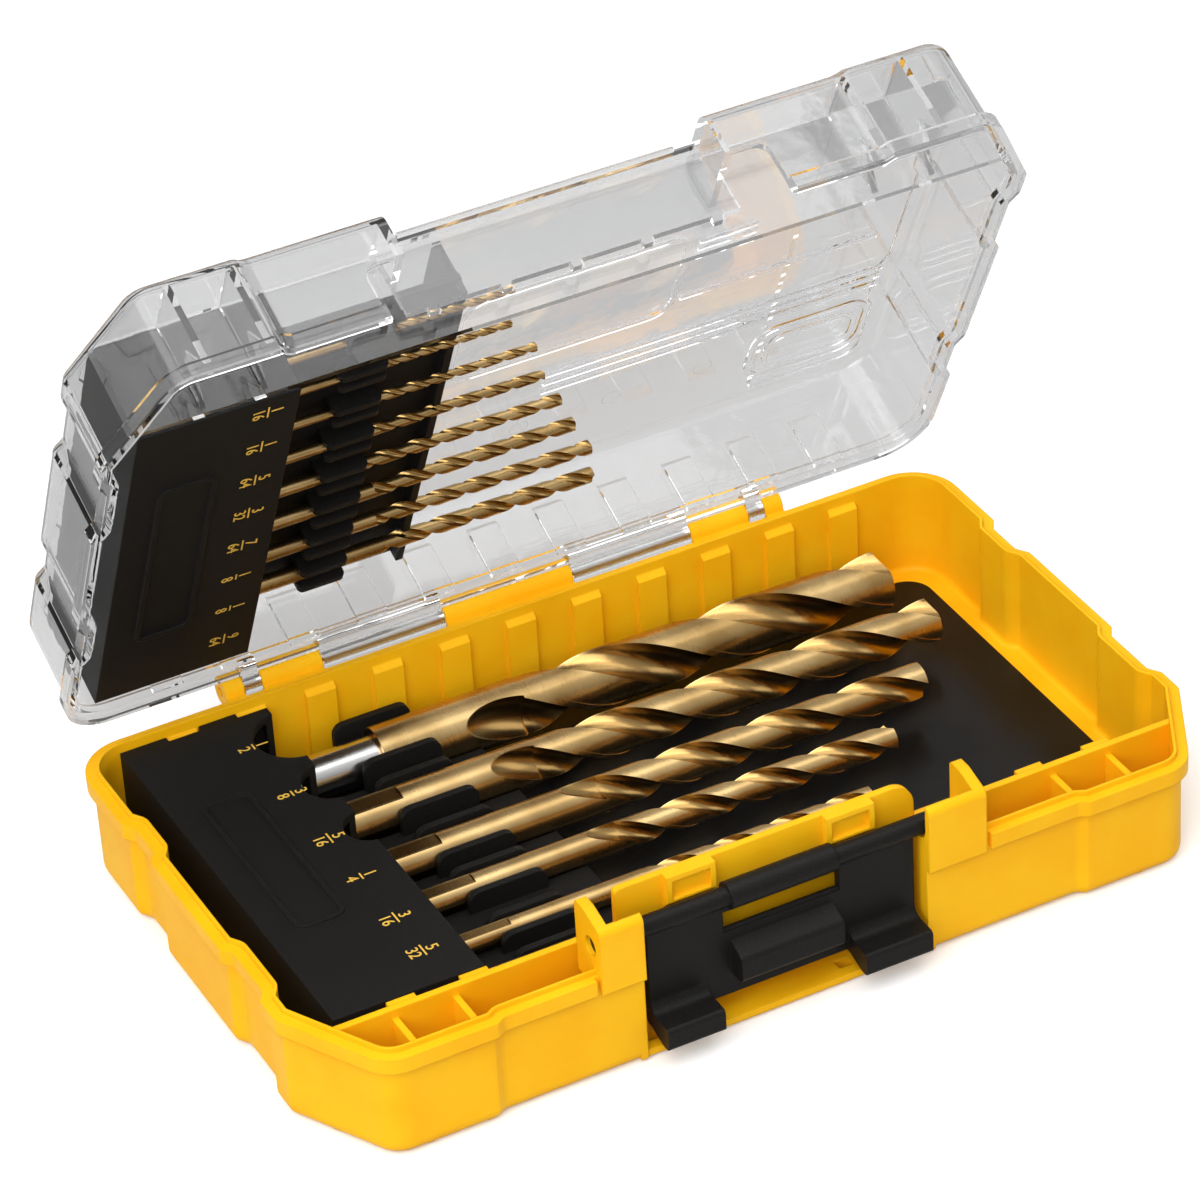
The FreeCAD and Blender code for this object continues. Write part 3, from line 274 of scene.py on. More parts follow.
class Shader:
    """A material's node tree with short calls for its nodes."""

    def __init__(self, name):
        self.material = bpy.data.materials.new(name)
        self.material.use_nodes = True
        self.nodes = self.material.node_tree.nodes
        self.links = self.material.node_tree.links
        self.surface = self.nodes["Principled BSDF"]
        self.output = self.nodes["Material Output"]

    def node(self, kind, settings=(), **inputs):
        made = self.nodes.new(kind)
        for name, value in dict(settings).items():
            setattr(made, name, value)
        for name, value in inputs.items():
            self.feed(made.inputs[name.replace("_", " ")], value)
        return made

    def feed(self, socket, value):
        if isinstance(value, bpy.types.NodeSocket):
            self.links.new(value, socket)
        else:
            socket.default_value = value

    def place(self, stretch=(1, 1, 1)):
        """Object coordinates in metres, stretched where a pattern runs one way."""
        seen = self.node("ShaderNodeTexCoord")
        turned = self.node("ShaderNodeMapping", Vector=seen.outputs["Object"], Scale=stretch)
        return turned.outputs["Vector"]

    def noise(self, size, detail=2, stretch=(1, 1, 1)):
        made = self.node("ShaderNodeTexNoise", Vector=self.place(stretch), Scale=1 / size, Detail=detail)
        return made.outputs["Fac"]

    def between(self, value, low, high):
        """A value from 0 to 1 spread between two numbers."""
        made = self.node("ShaderNodeMapRange", Value=value, To_Min=low, To_Max=high)
        return made.outputs["Result"]

    def step(self, value, start, end):
        """0 below start, 1 above end."""
        made = self.node("ShaderNodeMapRange", Value=value, From_Min=start, From_Max=end)
        return made.outputs["Result"]

    def blend(self, share, first, second):
        made = self.node("ShaderNodeMix", {"data_type": "RGBA"})
        colour_sockets = [s for s in made.inputs if s.type == "RGBA"]
        self.feed(made.inputs["Factor"], share)
        self.feed(colour_sockets[0], first)
        self.feed(colour_sockets[1], second)
        return next(s for s in made.outputs if s.type == "RGBA")

    def soft_edges(self, radius):
        return self.node("ShaderNodeBevel", {"samples": 4}, Radius=radius).outputs["Normal"]

    def bump(self, height, distance, strength, normal=None):
        made = self.node("ShaderNodeBump", Height=height, Distance=distance, Strength=strength)
        if normal is not None:
            self.links.new(normal, made.inputs["Normal"])
        return made.outputs["Normal"]

    def finish(self, **inputs):
        for name, value in inputs.items():
            self.feed(self.surface.inputs[name.replace("_", " ")], value)
        return self.material


def opaque(colour):
    return (*colour, 1.0)


def dress(nodes, material):
    """Puts one material on the named CAD nodes."""
    for name in nodes:
        slots = frame["nodes"][name].material_slots
        for slot in slots:
            slot.material = material
        if not slots:
            frame["nodes"][name].data.materials.append(material)


# Materials of the case


Finish = namedtuple("Finish", "roughness second_tone grain reflection", defaults=(None, None, None))

# Least and greatest roughness, where the second tone starts and is full on a pattern from 0 to 1,
# how clearly the grain shows, and how strongly a face reflects what is straight before it
FINISHES = {
    "moulded_yellow": Finish(roughness=(0.33, 0.45), second_tone=(0.4, 0.62), grain=0.35, reflection=0.13),
    "holder_black": Finish(roughness=(0.45, 0.57), second_tone=(0.5, 0.72), grain=0.6, reflection=0.12),
    "latch_black": Finish(roughness=(0.31, 0.43), second_tone=(0.5, 0.72), grain=0.6, reflection=0.12),
    "printed_card": Finish(roughness=(0.2, 0.28), second_tone=(0.35, 0.7), grain=0.3, reflection=0.16),
    "clear_lid": Finish(roughness=(0.015, 0.06), second_tone=(0.55, 0.8)),
    "coated_steel": Finish(roughness=(0.17, 0.3), second_tone=(0.3, 0.75), grain=0.5),
    "ground_steel": Finish(roughness=(0.22, 0.4), grain=0.4),
    "printed_paint": Finish(roughness=(0.4, 0.55), second_tone=(0.45, 0.75), grain=0.4),
}

# How much the lid bends light, how many faces a ray meets before it goes straight on, and its tint there
LID_INDEX = 1.49
LID_BENDS = 4.5
LID_VEIL = 0.96

# Roughness that a drill's lands add, and brightness of worn print and paper beside fresh
LANDS_ROUGHER_BY = 0.06
WORN_PRINT_SHARE = 0.78
WORN_FLOOR_SHARE = 0.98


def moulded_yellow(colours, sizes):
    made = Shader("moulded_yellow")
    look = FINISHES["moulded_yellow"]
    flow = made.noise(sizes.flow_patch, detail=3)
    grain = made.noise(sizes.moulding_grain, detail=2)
    rounded = made.soft_edges(sizes.edge_round)
    shade = made.step(flow, *look.second_tone)
    colour = made.blend(shade, opaque(colours.yellow), opaque(colours.yellow_shade))
    wavy = made.bump(flow, sizes.flow_depth, sizes.flow_strength, rounded)
    return made.finish(
        Base_Color=colour, Roughness=made.between(flow, *look.roughness),
        Normal=made.bump(grain, sizes.tub_grain_depth, look.grain, wavy),
        Specular_IOR_Level=look.reflection)


def moulded_black(colours, sizes, name, grain_depth):
    made = Shader(name)
    look = FINISHES[name]
    flow = made.noise(sizes.flow_patch, detail=3)
    grain = made.noise(sizes.moulding_grain, detail=3)
    rounded = made.soft_edges(sizes.edge_round)
    specks = made.step(grain, *look.second_tone)
    colour = made.blend(specks, opaque(colours.black), opaque(colours.black_grain))
    return made.finish(
        Base_Color=colour, Roughness=made.between(flow, *look.roughness),
        Normal=made.bump(grain, grain_depth, look.grain, rounded), Specular_IOR_Level=look.reflection)


def printed_card(colours, sizes):
    made = Shader("printed_card")
    look = FINISHES["printed_card"]
    flow = made.noise(sizes.flow_patch, detail=2)
    fibre = made.noise(sizes.moulding_grain, detail=3, stretch=(1, 3, 3))
    shade = made.step(flow, *look.second_tone)
    colour = made.blend(shade, opaque(colours.card), opaque(colours.black))
    return made.finish(
        Base_Color=colour, Roughness=made.between(flow, *look.roughness),
        Normal=made.bump(fibre, sizes.card_fibre_depth, look.grain), Specular_IOR_Level=look.reflection)


def clear_lid(colours, sizes):
    """Clear plastic that bends what is seen through it; lamps and much bent rays go straight on."""
    made = Shader("clear_lid")
    look = FINISHES["clear_lid"]
    flow = made.noise(sizes.flow_patch, detail=3)
    scuffs = made.noise(sizes.moulding_grain * 4, detail=3, stretch=(1, 12, 1))
    scuffed = made.step(scuffs, *look.second_tone)
    made.finish(
        Base_Color=opaque(colours.clear), Transmission_Weight=1.0, IOR=LID_INDEX,
        Roughness=made.between(scuffed, *look.roughness),
        Normal=made.bump(flow, sizes.flow_depth, sizes.flow_strength))
    path = made.node("ShaderNodeLightPath").outputs
    much_bent = made.node("ShaderNodeMath", {"operation": "GREATER_THAN"})
    made.feed(much_bent.inputs[0], path["Ray Depth"])
    made.feed(much_bent.inputs[1], LID_BENDS)
    straight = made.node("ShaderNodeMath", {"operation": "MAXIMUM"})
    made.feed(straight.inputs[0], path["Is Shadow Ray"])
    made.feed(straight.inputs[1], much_bent.outputs["Value"])
    veil = made.node("ShaderNodeBsdfTransparent", Color=opaque([LID_VEIL] * 3))
    mixed = made.node("ShaderNodeMixShader", Fac=straight.outputs["Value"])
    made.links.new(made.surface.outputs["BSDF"], mixed.inputs[1])
    made.links.new(veil.outputs["BSDF"], mixed.inputs[2])
    made.links.new(mixed.outputs["Shader"], made.output.inputs["Surface"])
    return made.material


def coated_steel(colours, sizes, name, axis, radius, bright_until=None):
    """Gold coated steel: brushed lands, smooth flutes in a darker bronze as painted shade; the rear end
    may stay bright.
    """
    made = Shader(name)
    look = FINISHES["coated_steel"]
    seen = made.node("ShaderNodeTexCoord").outputs["Object"]
    from_axis = made.node(
        "ShaderNodeMapping", {"vector_type": "POINT"}, Vector=seen,
        Location=(0, -axis[1] / radius, -axis[2] / radius), Scale=(0, 1 / radius, 1 / radius))
    reach = made.node("ShaderNodeVectorMath", {"operation": "LENGTH"})
    made.links.new(from_axis.outputs["Vector"], reach.inputs[0])
    land = made.step(reach.outputs["Value"], sizes.land_edge_share, sizes.land_full_share)
    heat = made.noise(sizes.heat_patch, detail=2)
    rings = made.noise(sizes.grinding_line, detail=2, stretch=(1, 0.03, 0.03))
    tone = made.step(heat, *look.second_tone)
    colour = made.blend(tone, opaque(colours.coating), opaque(colours.coating_deep_and_flute_shade))
    # The flutes, inside the lands' radius, take the deep bronze as a painted shade for the dark that these
    # hollows reflect
    colour = made.blend(land, opaque(colours.coating_deep_and_flute_shade), colour)
    if bright_until is not None:
        along = made.node("ShaderNodeSeparateXYZ", Vector=seen).outputs["X"]
        coated = made.step(along, bright_until - sizes.grinding_line, bright_until + sizes.grinding_line)
        colour = made.blend(coated, opaque(colours.bright_steel), colour)
    ground = made.between(rings, *look.roughness)
    roughness = made.node("ShaderNodeMath", {"operation": "MULTIPLY_ADD"})
    made.feed(roughness.inputs[0], land)
    made.feed(roughness.inputs[1], LANDS_ROUGHER_BY)
    made.feed(roughness.inputs[2], ground)
    normal = made.bump(rings, sizes.grinding_depth, look.grain)
    return made.finish(
        Base_Color=colour, Metallic=1.0, Roughness=roughness.outputs["Value"], Normal=normal)


def ground_steel(colours, sizes):
    made = Shader("ground_steel")
    look = FINISHES["ground_steel"]
    rings = made.noise(sizes.grinding_line, detail=2, stretch=(1, 0.05, 0.05))
    return made.finish(
        Base_Color=opaque(colours.bright_steel), Metallic=1.0,
        Roughness=made.between(rings, *look.roughness),
        Normal=made.bump(rings, sizes.print_grain_depth, look.grain))


def printed_paint(colours, sizes):
    made = Shader("printed_paint")
    look = FINISHES["printed_paint"]
    ink = made.noise(sizes.moulding_grain * 2, detail=3)
    worn = tuple(WORN_PRINT_SHARE * c for c in colours.number_paint)
    wear = made.step(ink, *look.second_tone)
    colour = made.blend(wear, opaque(colours.number_paint), opaque(worn))
    return made.finish(
        Base_Color=colour, Roughness=made.between(ink, *look.roughness),
        Normal=made.bump(ink, sizes.print_grain_depth, look.grain))


# Shape helpers


def lid_swing():
    """The turn that carries the shut lid to the open lid at rest."""
    hinge = next(j for j in frame["joints"] if j["name"] == "lid_hinge")
    pin = Matrix.Translation(hinge["pos_m"])
    opened = math.radians(-hinge["range_deg"][0])
    return pin @ Matrix.Rotation(opened, 4, Vector(hinge["axis"])) @ pin.inverted()


def mesh_of(data_object):
    """The plain mesh that a text, curve or modified object shows."""
    bpy.context.scene.collection.objects.link(data_object)
    graph = bpy.context.evaluated_depsgraph_get()
    mesh = bpy.data.meshes.new_from_object(data_object.evaluated_get(graph))
    bpy.data.objects.remove(data_object)
    return mesh


def piece(name, mesh, material, body):
    """One finished object at the origin that moves with a CAD body."""
    mesh.materials.clear()
    mesh.materials.append(material)
    made = bpy.data.objects.new(name, mesh)
    bpy.context.scene.collection.objects.link(made)
    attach(made, body)
    return made


def digits(words, sizes):
    """Flat digits with their foot on y = 0 and their middle on x = 0."""
    text = bpy.data.curves.new("digits", "FONT")
    text.body = words
    text.align_x = "CENTER"
    text.resolution_u = 6
    text.offset = sizes.digit_weight
    text.extrude = sizes.paint_height / 2
    mesh = mesh_of(bpy.data.objects.new("digits", text))
    low = min(v.co.y for v in mesh.vertices)
    high = max(v.co.y for v in mesh.vertices)
    tall = sizes.digit_height / (high - low)
    wide = tall * sizes.digit_narrowing
    for vertex in mesh.vertices:
        vertex.co.x *= wide
        vertex.co.y = (vertex.co.y - low) * tall
        vertex.co.z += sizes.paint_height / 2
    return mesh


def add_bar(shape, half_width, sizes):
    corners = [Vector((x, y, z)) for x in (-half_width, half_width)
               for y in (-sizes.bar_height / 2, sizes.bar_height / 2)
               for z in (0, sizes.paint_height)]
    bmesh.ops.convex_hull(shape, input=[shape.verts.new(c) for c in corners])


def fraction_mesh(top, bottom, sizes):
    """A drill size as two numbers and a bar, lying on its back round the middle of the bar."""
    shape = bmesh.new()
    over = sizes.bar_height / 2 + sizes.bar_gap
    widths = []
    for words, lift in ((top, over), (bottom, -over - sizes.digit_height)):
        mesh = digits(words, sizes)
        mesh.transform(Matrix.Translation((0, lift, 0)))
        widths += [abs(v.co.x) for v in mesh.vertices]
        shape.from_mesh(mesh)
        bpy.data.meshes.remove(mesh)
    bmesh.ops.remove_doubles(shape, verts=shape.verts, dist=sizes.paint_height / 50)
    add_bar(shape, max(widths) + sizes.bar_overhang, sizes)
    bmesh.ops.recalc_face_normals(shape, faces=shape.faces)
    mesh = bpy.data.meshes.new("fraction")
    shape.to_mesh(mesh)
    shape.free()
    return mesh


def middle_of(node, swing=None):
    """The middle of a drill's box, with the lid swung shut where a swing is given."""
    low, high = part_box(node)
    centre = (low + high) / 2
    return swing.inverted() @ centre if swing else centre


def cover_heights(node, column, swing=None):
    """Heights of a holder's corners to the right of its numbers, where no raised frame stands."""
    places = [v.co for v in frame["nodes"][node].data.vertices]
    if swing:
        back = swing.inverted()
        places = [back @ place for place in places]
    return [place.z for place in places if place.x > column]


# Operators, one for each piece or group of like pieces


class FinishTub(bpy.types.Operator):
    """Give the tub its moulded yellow plastic"""

    bl_idname = "drill_case.finish_tub"
    bl_label = "Finish the tub"

    def execute(self, context):
        scene = context.scene
        dress(["base_shell"], moulded_yellow(scene.case_colours, scene.surface_sizes))
        return {"FINISHED"}


class FinishCard(bpy.types.Operator):
    """Give the floor card its dark glossy print"""

    bl_idname = "drill_case.finish_card"
    bl_label = "Finish the floor card"

    def execute(self, context):
        scene = context.scene
        dress(["floor_card"], printed_card(scene.case_colours, scene.surface_sizes))
        return {"FINISHED"}


class FinishHolders(bpy.types.Operator):
    """Give both bit holders their grained black plastic"""

    bl_idname = "drill_case.finish_holders"
    bl_label = "Finish the bit holders"

    def execute(self, context):
        scene = context.scene
        sizes = scene.surface_sizes
        black = moulded_black(scene.case_colours, sizes, "holder_black", sizes.holder_grain_depth)
        dress(["base_bit_holder", "lid_bit_holder"], black)
        return {"FINISHED"}


class FinishLatch(bpy.types.Operator):
    """Give the latch its smoother black plastic"""

    bl_idname = "drill_case.finish_latch"
    bl_label = "Finish the latch"

    def execute(self, context):
        scene = context.scene
        sizes = scene.surface_sizes
        black = moulded_black(scene.case_colours, sizes, "latch_black", sizes.latch_grain_depth)
        dress(["latch"], black)
        return {"FINISHED"}


class FinishLid(bpy.types.Operator):
    """Give the lid its clear plastic"""

    bl_idname = "drill_case.finish_lid"
    bl_label = "Finish the lid"

    def execute(self, context):
        scene = context.scene
        dress(["lid_shell"], clear_lid(scene.case_colours, scene.surface_sizes))
        return {"FINISHED"}


class FinishDrills(bpy.types.Operator):
    """Give the drills their gold coating, with bright steel at two shanks"""

    bl_idname = "drill_case.finish_drills"
    bl_label = "Finish the drills"

    collar_place: bpy.props.FloatProperty(
        name="Collar", description="Where the reduced shank of the largest drill ends",
        default=-0.0412, unit="LENGTH")
    bared_place: bpy.props.FloatProperty(
        name="Bared end", description="Where the coating of the 1/4 inch drill starts",
        default=-0.0578, unit="LENGTH")

    def execute(self, context):
        scene = context.scene
        colours, sizes = scene.case_colours, scene.surface_sizes
        bright_ends = {"1_2_inch": self.collar_place, "1_4_inch": self.bared_place}
        for size in BIG_DRILLS + SMALL_DRILLS:
            low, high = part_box(f"bit_{size}")
            radius = (high - low).y / 2
            gold = coated_steel(
                colours, sizes, f"gold_{size}", (low + high) / 2, radius, bright_ends.get(size))
            dress([f"bit_{size}"], gold)
        return {"FINISHED"}


class FinishPins(bpy.types.Operator):
    """Give the hinge pins ground steel"""

    bl_idname = "drill_case.finish_pins"
    bl_label = "Finish the hinge pins"

    def execute(self, context):
        scene = context.scene
        steel = ground_steel(scene.case_colours, scene.surface_sizes)
        dress(["hinge_pin_left", "hinge_pin_right"], steel)
        return {"FINISHED"}


class PrintSizes(bpy.types.Operator):
    """Print each drill's size beside it, on the tub's cover and on the lid's cover"""

    bl_idname = "drill_case.print_sizes"
    bl_label = "Print the drill sizes"

    def execute(self, context):
        scene = context.scene
        sizes = scene.number_sizes
        paint = printed_paint(scene.case_colours, scene.surface_sizes)
        swing = lid_swing()
        cover_top = max(cover_heights("base_bit_holder", sizes.base_column))
        cover_bottom = min(cover_heights("lid_bit_holder", sizes.lid_column, swing))
        on_tub = Matrix(((0, 1, 0), (-1, 0, 0), (0, 0, 1))).to_4x4()
        on_lid = Matrix(((0, 1, 0), (1, 0, 0), (0, 0, -1))).to_4x4()
        for size in BIG_DRILLS:
            row = middle_of(f"bit_{size}").y
            seat = Matrix.Translation((sizes.base_column, row, cover_top)) @ on_tub
            self.print_one(size, seat, sizes, paint, "tub")
        for size in SMALL_DRILLS:
            row = middle_of(f"bit_{size}", swing).y
            seat = swing @ Matrix.Translation((sizes.lid_column, row, cover_bottom)) @ on_lid
            self.print_one(size, seat, sizes, paint, "lid")
        return {"FINISHED"}

    def print_one(self, size, seat, sizes, paint, body):
        top, bottom = size.split("_")[:2]
        mesh = fraction_mesh(top, bottom, sizes)
        mesh.transform(seat)
        piece(f"number_{size}", mesh, paint, body)


class MarkEjectors(bpy.types.Operator):
    """Leave the faint rings of the ejector pins in the tub's wells and in the lid"""

    bl_idname = "drill_case.mark_ejectors"
    bl_label = "Mark the ejector pins"

    ring_radius: bpy.props.FloatProperty(
        name="Ring radius", description="Radius of one ejector pin", default=0.0022, unit="LENGTH")
    line_radius: bpy.props.FloatProperty(
        name="Line radius", description="How far a ring stands up", default=0.00007, unit="LENGTH")
    well_row: bpy.props.FloatProperty(
        name="Well row", description="Place of the wells' rings from the front",
        default=0.0093, unit="LENGTH")
    floor_height: bpy.props.FloatProperty(
        name="Floor height", description="Height of the wells' floor",
        default=0.0016, unit="LENGTH")
    well_spreads: bpy.props.FloatVectorProperty(
        name="Well spreads", description="Distances between the two rings of the inner and outer wells",
        size=2, default=(0.111, 0.149), unit="LENGTH")
    lid_rows: bpy.props.FloatVectorProperty(
        name="Lid rows", description="Places of the lid's rows of rings from the front", size=2,
        default=(0.031, 0.100), unit="LENGTH")
    lid_middles: bpy.props.FloatVectorProperty(
        name="Lid middles", description="Places of the middles of the lid's rows along the case", size=2,
        default=(0.040, 0.032), unit="LENGTH")
    lid_spreads: bpy.props.FloatVectorProperty(
        name="Lid spreads", description="Lengths of the lid's rows of rings", size=2,
        default=(0.096, 0.044), unit="LENGTH")
    lid_counts: bpy.props.IntVectorProperty(
        name="Lid counts", description="How many rings the lid's rows have", size=2, default=(5, 3))
    panel_below_top: bpy.props.FloatProperty(
        name="Panel depth", description="Inside of the lid's panel below its highest face",
        default=0.0031, unit="LENGTH")

    def execute(self, context):
        swing = lid_swing()
        tree = ring_row_tree()
        front = tub_front()
        yellow = frame["nodes"]["base_shell"].material_slots[0].material
        clear = frame["nodes"]["lid_shell"].material_slots[0].material
        for name, spread in zip(("well_marks_inner", "well_marks_outer"), self.well_spreads):
            seat = Matrix.Translation((0, front + self.well_row, self.floor_height))
            self.row(tree, name, 2, spread, seat, yellow, "tub")
        shut = [swing.inverted() @ v.co for v in frame["nodes"]["lid_shell"].data.vertices]
        panel = max(place.z for place in shut) - self.panel_below_top
        names = ("lid_marks_front", "lid_marks_back")
        rows = zip(names, self.lid_counts, self.lid_middles, self.lid_spreads, self.lid_rows)
        for name, count, middle, spread, row in rows:
            seat = swing @ Matrix.Translation((middle, front + row, panel))
            self.row(tree, name, count, spread, seat, clear, "lid")
        return {"FINISHED"}

    def row(self, tree, name, count, spread, seat, material, body):
        carrier = bpy.data.objects.new("carrier", bpy.data.meshes.new("carrier"))
        mesh = grown_mesh(carrier, tree, {
            "Count": count, "Spread": spread, "Ring radius": self.ring_radius,
            "Line radius": self.line_radius, "Material": material})
        mesh.transform(seat)
        piece(name, mesh, material, body)


def tub_front():
    """Place of the tub's front edge."""
    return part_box("base_shell")[0].y


def grown_mesh(carrier, tree, values):
    """Runs a geometry tree on a carrier and returns the plain mesh."""
    modifier = carrier.modifiers.new("grow", "NODES")
    modifier.node_group = tree
    for item in tree.interface.items_tree:
        if item.item_type == "SOCKET" and item.in_out == "INPUT" and item.name in values:
            modifier[item.identifier] = values[item.name]
    return mesh_of(carrier)


def new_tree(name, inputs):
    """A geometry tree with named inputs and one mesh output."""
    tree = bpy.data.node_groups.new(name, "GeometryNodeTree")
    for label, kind in inputs:
        tree.interface.new_socket(label, in_out="INPUT", socket_type=kind)
    tree.interface.new_socket("Geometry", in_out="OUTPUT", socket_type="NodeSocketGeometry")
    return tree


def ring_row_tree():
    """A row of low rings along X, centred on the origin."""
    tree = new_tree("ring_row", (
        ("Count", "NodeSocketInt"), ("Spread", "NodeSocketFloat"),
        ("Ring radius", "NodeSocketFloat"), ("Line radius", "NodeSocketFloat"),
        ("Material", "NodeSocketMaterial")))
    node, link = tree.nodes.new, tree.links.new
    given = node("NodeGroupInput").outputs
    start, finish = node("ShaderNodeCombineXYZ"), node("ShaderNodeCombineXYZ")
    for end, share in ((start, -0.5), (finish, 0.5)):
        half = node("ShaderNodeMath")
        half.operation = "MULTIPLY"
        link(given["Spread"], half.inputs[0])
        half.inputs[1].default_value = share
        link(half.outputs["Value"], end.inputs["X"])
    row = node("GeometryNodeMeshLine")
    row.mode = "END_POINTS"
    link(given["Count"], row.inputs["Count"])
    link(start.outputs["Vector"], row.inputs["Start Location"])
    link(finish.outputs["Vector"], row.inputs["Offset"])
    ring, line = node("GeometryNodeCurvePrimitiveCircle"), node("GeometryNodeCurvePrimitiveCircle")
    ring.inputs["Resolution"].default_value = 48
    line.inputs["Resolution"].default_value = 8
    link(given["Ring radius"], ring.inputs["Radius"])
    link(given["Line radius"], line.inputs["Radius"])
    sweep = node("GeometryNodeCurveToMesh")
    link(ring.outputs["Curve"], sweep.inputs["Curve"])
    link(line.outputs["Curve"], sweep.inputs["Profile Curve"])
    stamped = node("GeometryNodeInstanceOnPoints")
    link(row.outputs["Mesh"], stamped.inputs["Points"])
    link(sweep.outputs["Mesh"], stamped.inputs["Instance"])
    real = node("GeometryNodeRealizeInstances")
    link(stamped.outputs["Instances"], real.inputs["Geometry"])
    paint = node("GeometryNodeSetMaterial")
    link(real.outputs["Geometry"], paint.inputs["Geometry"])
    link(given["Material"], paint.inputs["Material"])
    link(paint.outputs["Geometry"], node("NodeGroupOutput").inputs["Geometry"])
    return tree


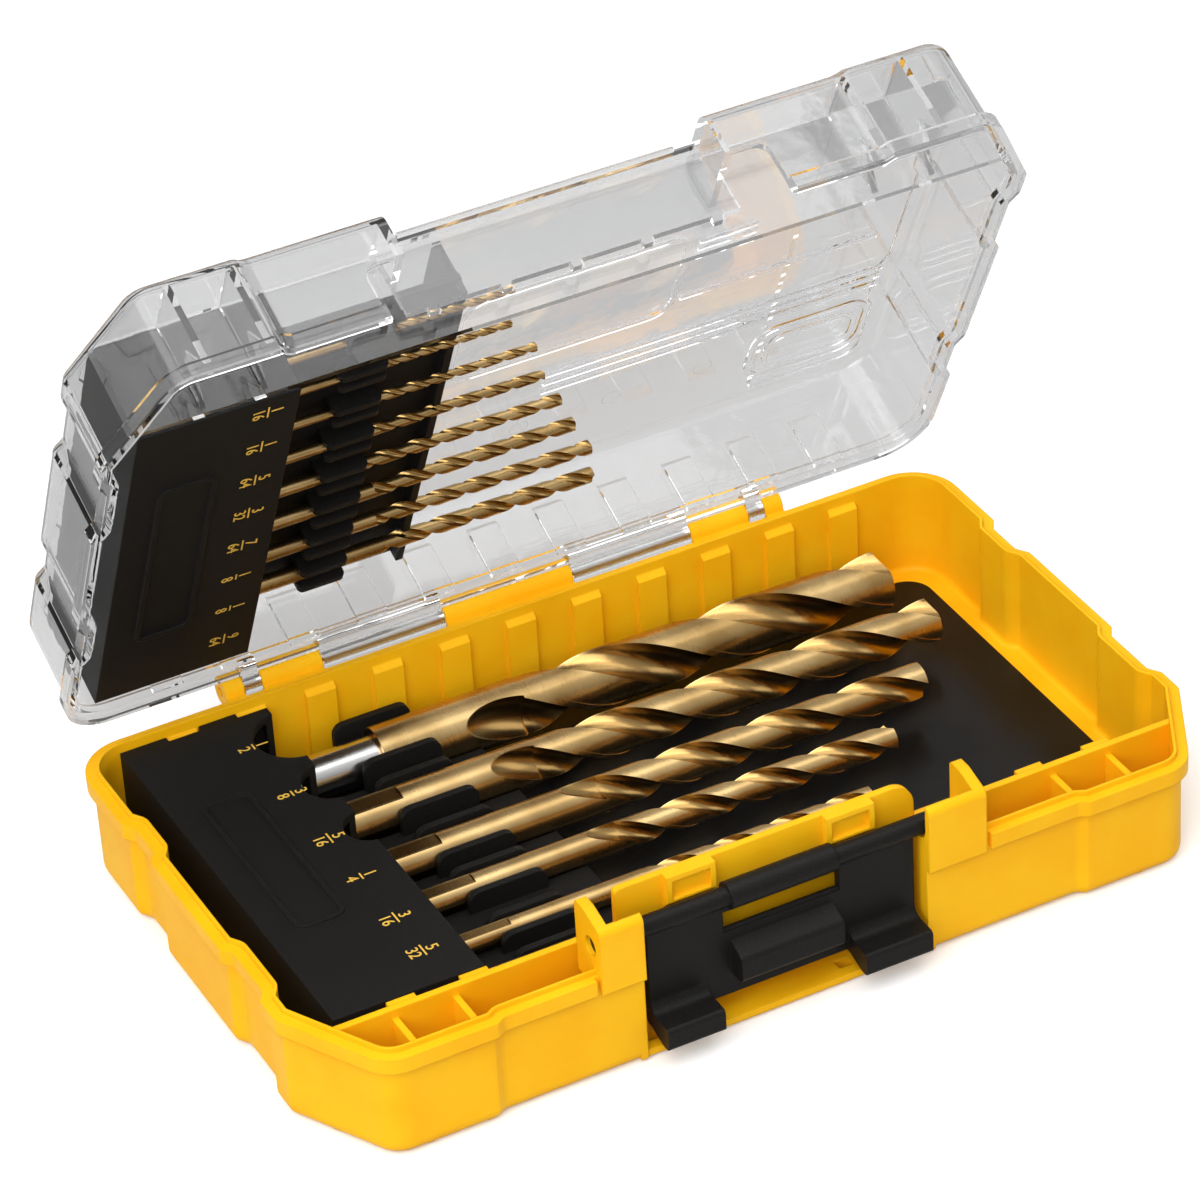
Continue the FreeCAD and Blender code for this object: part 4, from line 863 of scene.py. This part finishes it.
class SetStage(bpy.types.Operator):
    """Set the pale floor, the soft lamps and the camera"""

    bl_idname = "drill_case.set_stage"
    bl_label = "Set the stage"

    def execute(self, context):
        scene = context.scene
        studio = scene.studio_settings
        self.lay_floor(studio, scene.case_colours)
        self.light_room(scene, studio)
        self.hang_softbox("key", studio.key_place, studio.key_width, studio.key_strength)
        self.hang_softbox("front", studio.front_place, studio.front_width, studio.front_strength)
        self.hang_softbox("left", studio.left_place, studio.side_width, studio.side_strength)
        self.hang_softbox("right", studio.right_place, studio.side_width, studio.side_strength)
        self.stand_camera(scene, studio)
        scene.view_settings.view_transform = "Standard"
        return {"FINISHED"}

    def lay_floor(self, studio, colours):
        half = studio.floor_width / 2
        corners = [(-half, -half, 0), (half, -half, 0), (half, half, 0), (-half, half, 0)]
        mesh = bpy.data.meshes.new("floor")
        mesh.from_pydata(corners, [], [(0, 1, 2, 3)])
        floor = bpy.data.objects.new("floor", mesh)
        bpy.context.scene.collection.objects.link(floor)
        made = Shader("floor_paper")
        seen = made.node("ShaderNodeLightPath").outputs["Is Camera Ray"]
        worn = opaque([WORN_FLOOR_SHARE * c for c in colours.floor])
        paper = made.blend(made.noise(studio.floor_patch, detail=2), opaque(colours.floor), worn)
        made.finish(
            Base_Color=made.blend(seen, opaque(colours.floor_bounce), paper), Roughness=0.9,
            Specular_IOR_Level=0.1, Emission_Color=opaque([1.0] * 3),
            Emission_Strength=made.between(seen, 0.0, studio.floor_glow))
        mesh.materials.append(made.material)

    def light_room(self, scene, studio):
        """Even light all round; glossy faces and clear plastic see their own, the camera sees white."""
        world = scene.world or bpy.data.worlds.new("room")
        scene.world = world
        world.use_nodes = True
        nodes, links = world.node_tree.nodes, world.node_tree.links
        nodes.clear()
        path = nodes.new("ShaderNodeLightPath")
        towards = nodes.new("ShaderNodeSeparateXYZ")
        links.new(nodes.new("ShaderNodeTexCoord").outputs["Generated"], towards.inputs["Vector"])
        rise = nodes.new("ShaderNodeMapRange")
        links.new(towards.outputs["Z"], rise.inputs["Value"])
        rise.inputs["To Min"].default_value = studio.mirrored_horizon
        rise.inputs["To Max"].default_value = studio.mirrored_ceiling
        light = self.choice(nodes, links, path.outputs["Is Glossy Ray"], studio.room_strength,
                            rise.outputs["Result"])
        through = self.choice(nodes, links, path.outputs["Is Transmission Ray"], light, studio.lid_view)
        shown = self.choice(nodes, links, path.outputs["Is Camera Ray"], through, 1.0)
        room = nodes.new("ShaderNodeBackground")
        room.inputs["Color"].default_value = (1, 1, 1, 1)
        links.new(shown, room.inputs["Strength"])
        links.new(room.outputs["Background"], nodes.new("ShaderNodeOutputWorld").inputs["Surface"])

    def choice(self, nodes, links, switch, plain, special):
        """The plain value, or the special one where the switch is 1."""
        mixed = nodes.new("ShaderNodeMix")
        links.new(switch, mixed.inputs["Factor"])
        for name, value in (("A", plain), ("B", special)):
            if isinstance(value, bpy.types.NodeSocket):
                links.new(value, mixed.inputs[name])
            else:
                mixed.inputs[name].default_value = value
        return mixed.outputs["Result"]

    def hang_softbox(self, name, place, width, power):
        """A square lamp turned to the case; its place and width are in case lengths."""
        span = cad_box[1][0] - cad_box[0][0]
        place = span * Vector(place)
        lamp = bpy.data.lights.new(name, "AREA")
        lamp.shape = "SQUARE"
        lamp.size = width * span
        lamp.energy = power
        hung = bpy.data.objects.new(name, lamp)
        hung.location = place
        target = Vector((0, 0, cad_box[1][2] / 4))
        hung.rotation_euler = (target - place).to_track_quat("-Z", "Y").to_euler()
        bpy.context.scene.collection.objects.link(hung)

    def stand_camera(self, scene, studio):
        heading, fall, roll = studio.camera_heading, studio.camera_fall, studio.camera_roll
        level = Vector((math.cos(heading), -math.sin(heading), 0))
        view = Vector((math.sin(heading) * math.cos(fall), math.cos(heading) * math.cos(fall),
                       -math.sin(fall)))
        upright = level.cross(view)
        right = math.cos(roll) * level + math.sin(roll) * upright
        up = math.cos(roll) * upright - math.sin(roll) * level
        lens = bpy.data.cameras.new("photo_camera")
        lens.sensor_width = studio.sensor_width
        lens.lens = studio.focal_pixels / studio.photo_width * studio.sensor_width
        stand = bpy.data.objects.new("photo_camera", lens)
        turn = Matrix((right, up, -view)).transposed().to_4x4()
        stand.matrix_world = Matrix.Translation(studio.camera_place) @ turn
        bpy.context.scene.collection.objects.link(stand)
        scene.camera = stand


class CasePanel(bpy.types.Panel):
    """Lists the steps that dress the case"""

    bl_idname = "VIEW3D_PT_drill_case"
    bl_label = "Drill bit case"
    bl_space_type = "VIEW_3D"
    bl_region_type = "UI"
    bl_category = "Drill bit case"

    def draw(self, context):
        for step in STEPS:
            self.layout.operator(step.bl_idname)


GROUPS = {
    "case_colours": CaseColours,
    "surface_sizes": SurfaceSizes,
    "number_sizes": NumberSizes,
    "studio_settings": StudioSettings,
}
STEPS = (FinishTub, FinishCard, FinishHolders, FinishLatch, FinishLid, FinishDrills, FinishPins,
         PrintSizes, MarkEjectors, SetStage)


def register():
    for made in (*GROUPS.values(), *STEPS, CasePanel):
        bpy.utils.register_class(made)
    for name, group in GROUPS.items():
        setattr(bpy.types.Scene, name, bpy.props.PointerProperty(type=group))


def unregister():
    for name in GROUPS:
        delattr(bpy.types.Scene, name)
    for made in reversed((*GROUPS.values(), *STEPS, CasePanel)):
        bpy.utils.unregister_class(made)


def main():
    register()
    for step in STEPS:
        group, action = step.bl_idname.split(".")
        getattr(getattr(bpy.ops, group), action)()


if __name__ == "__main__":
    main()
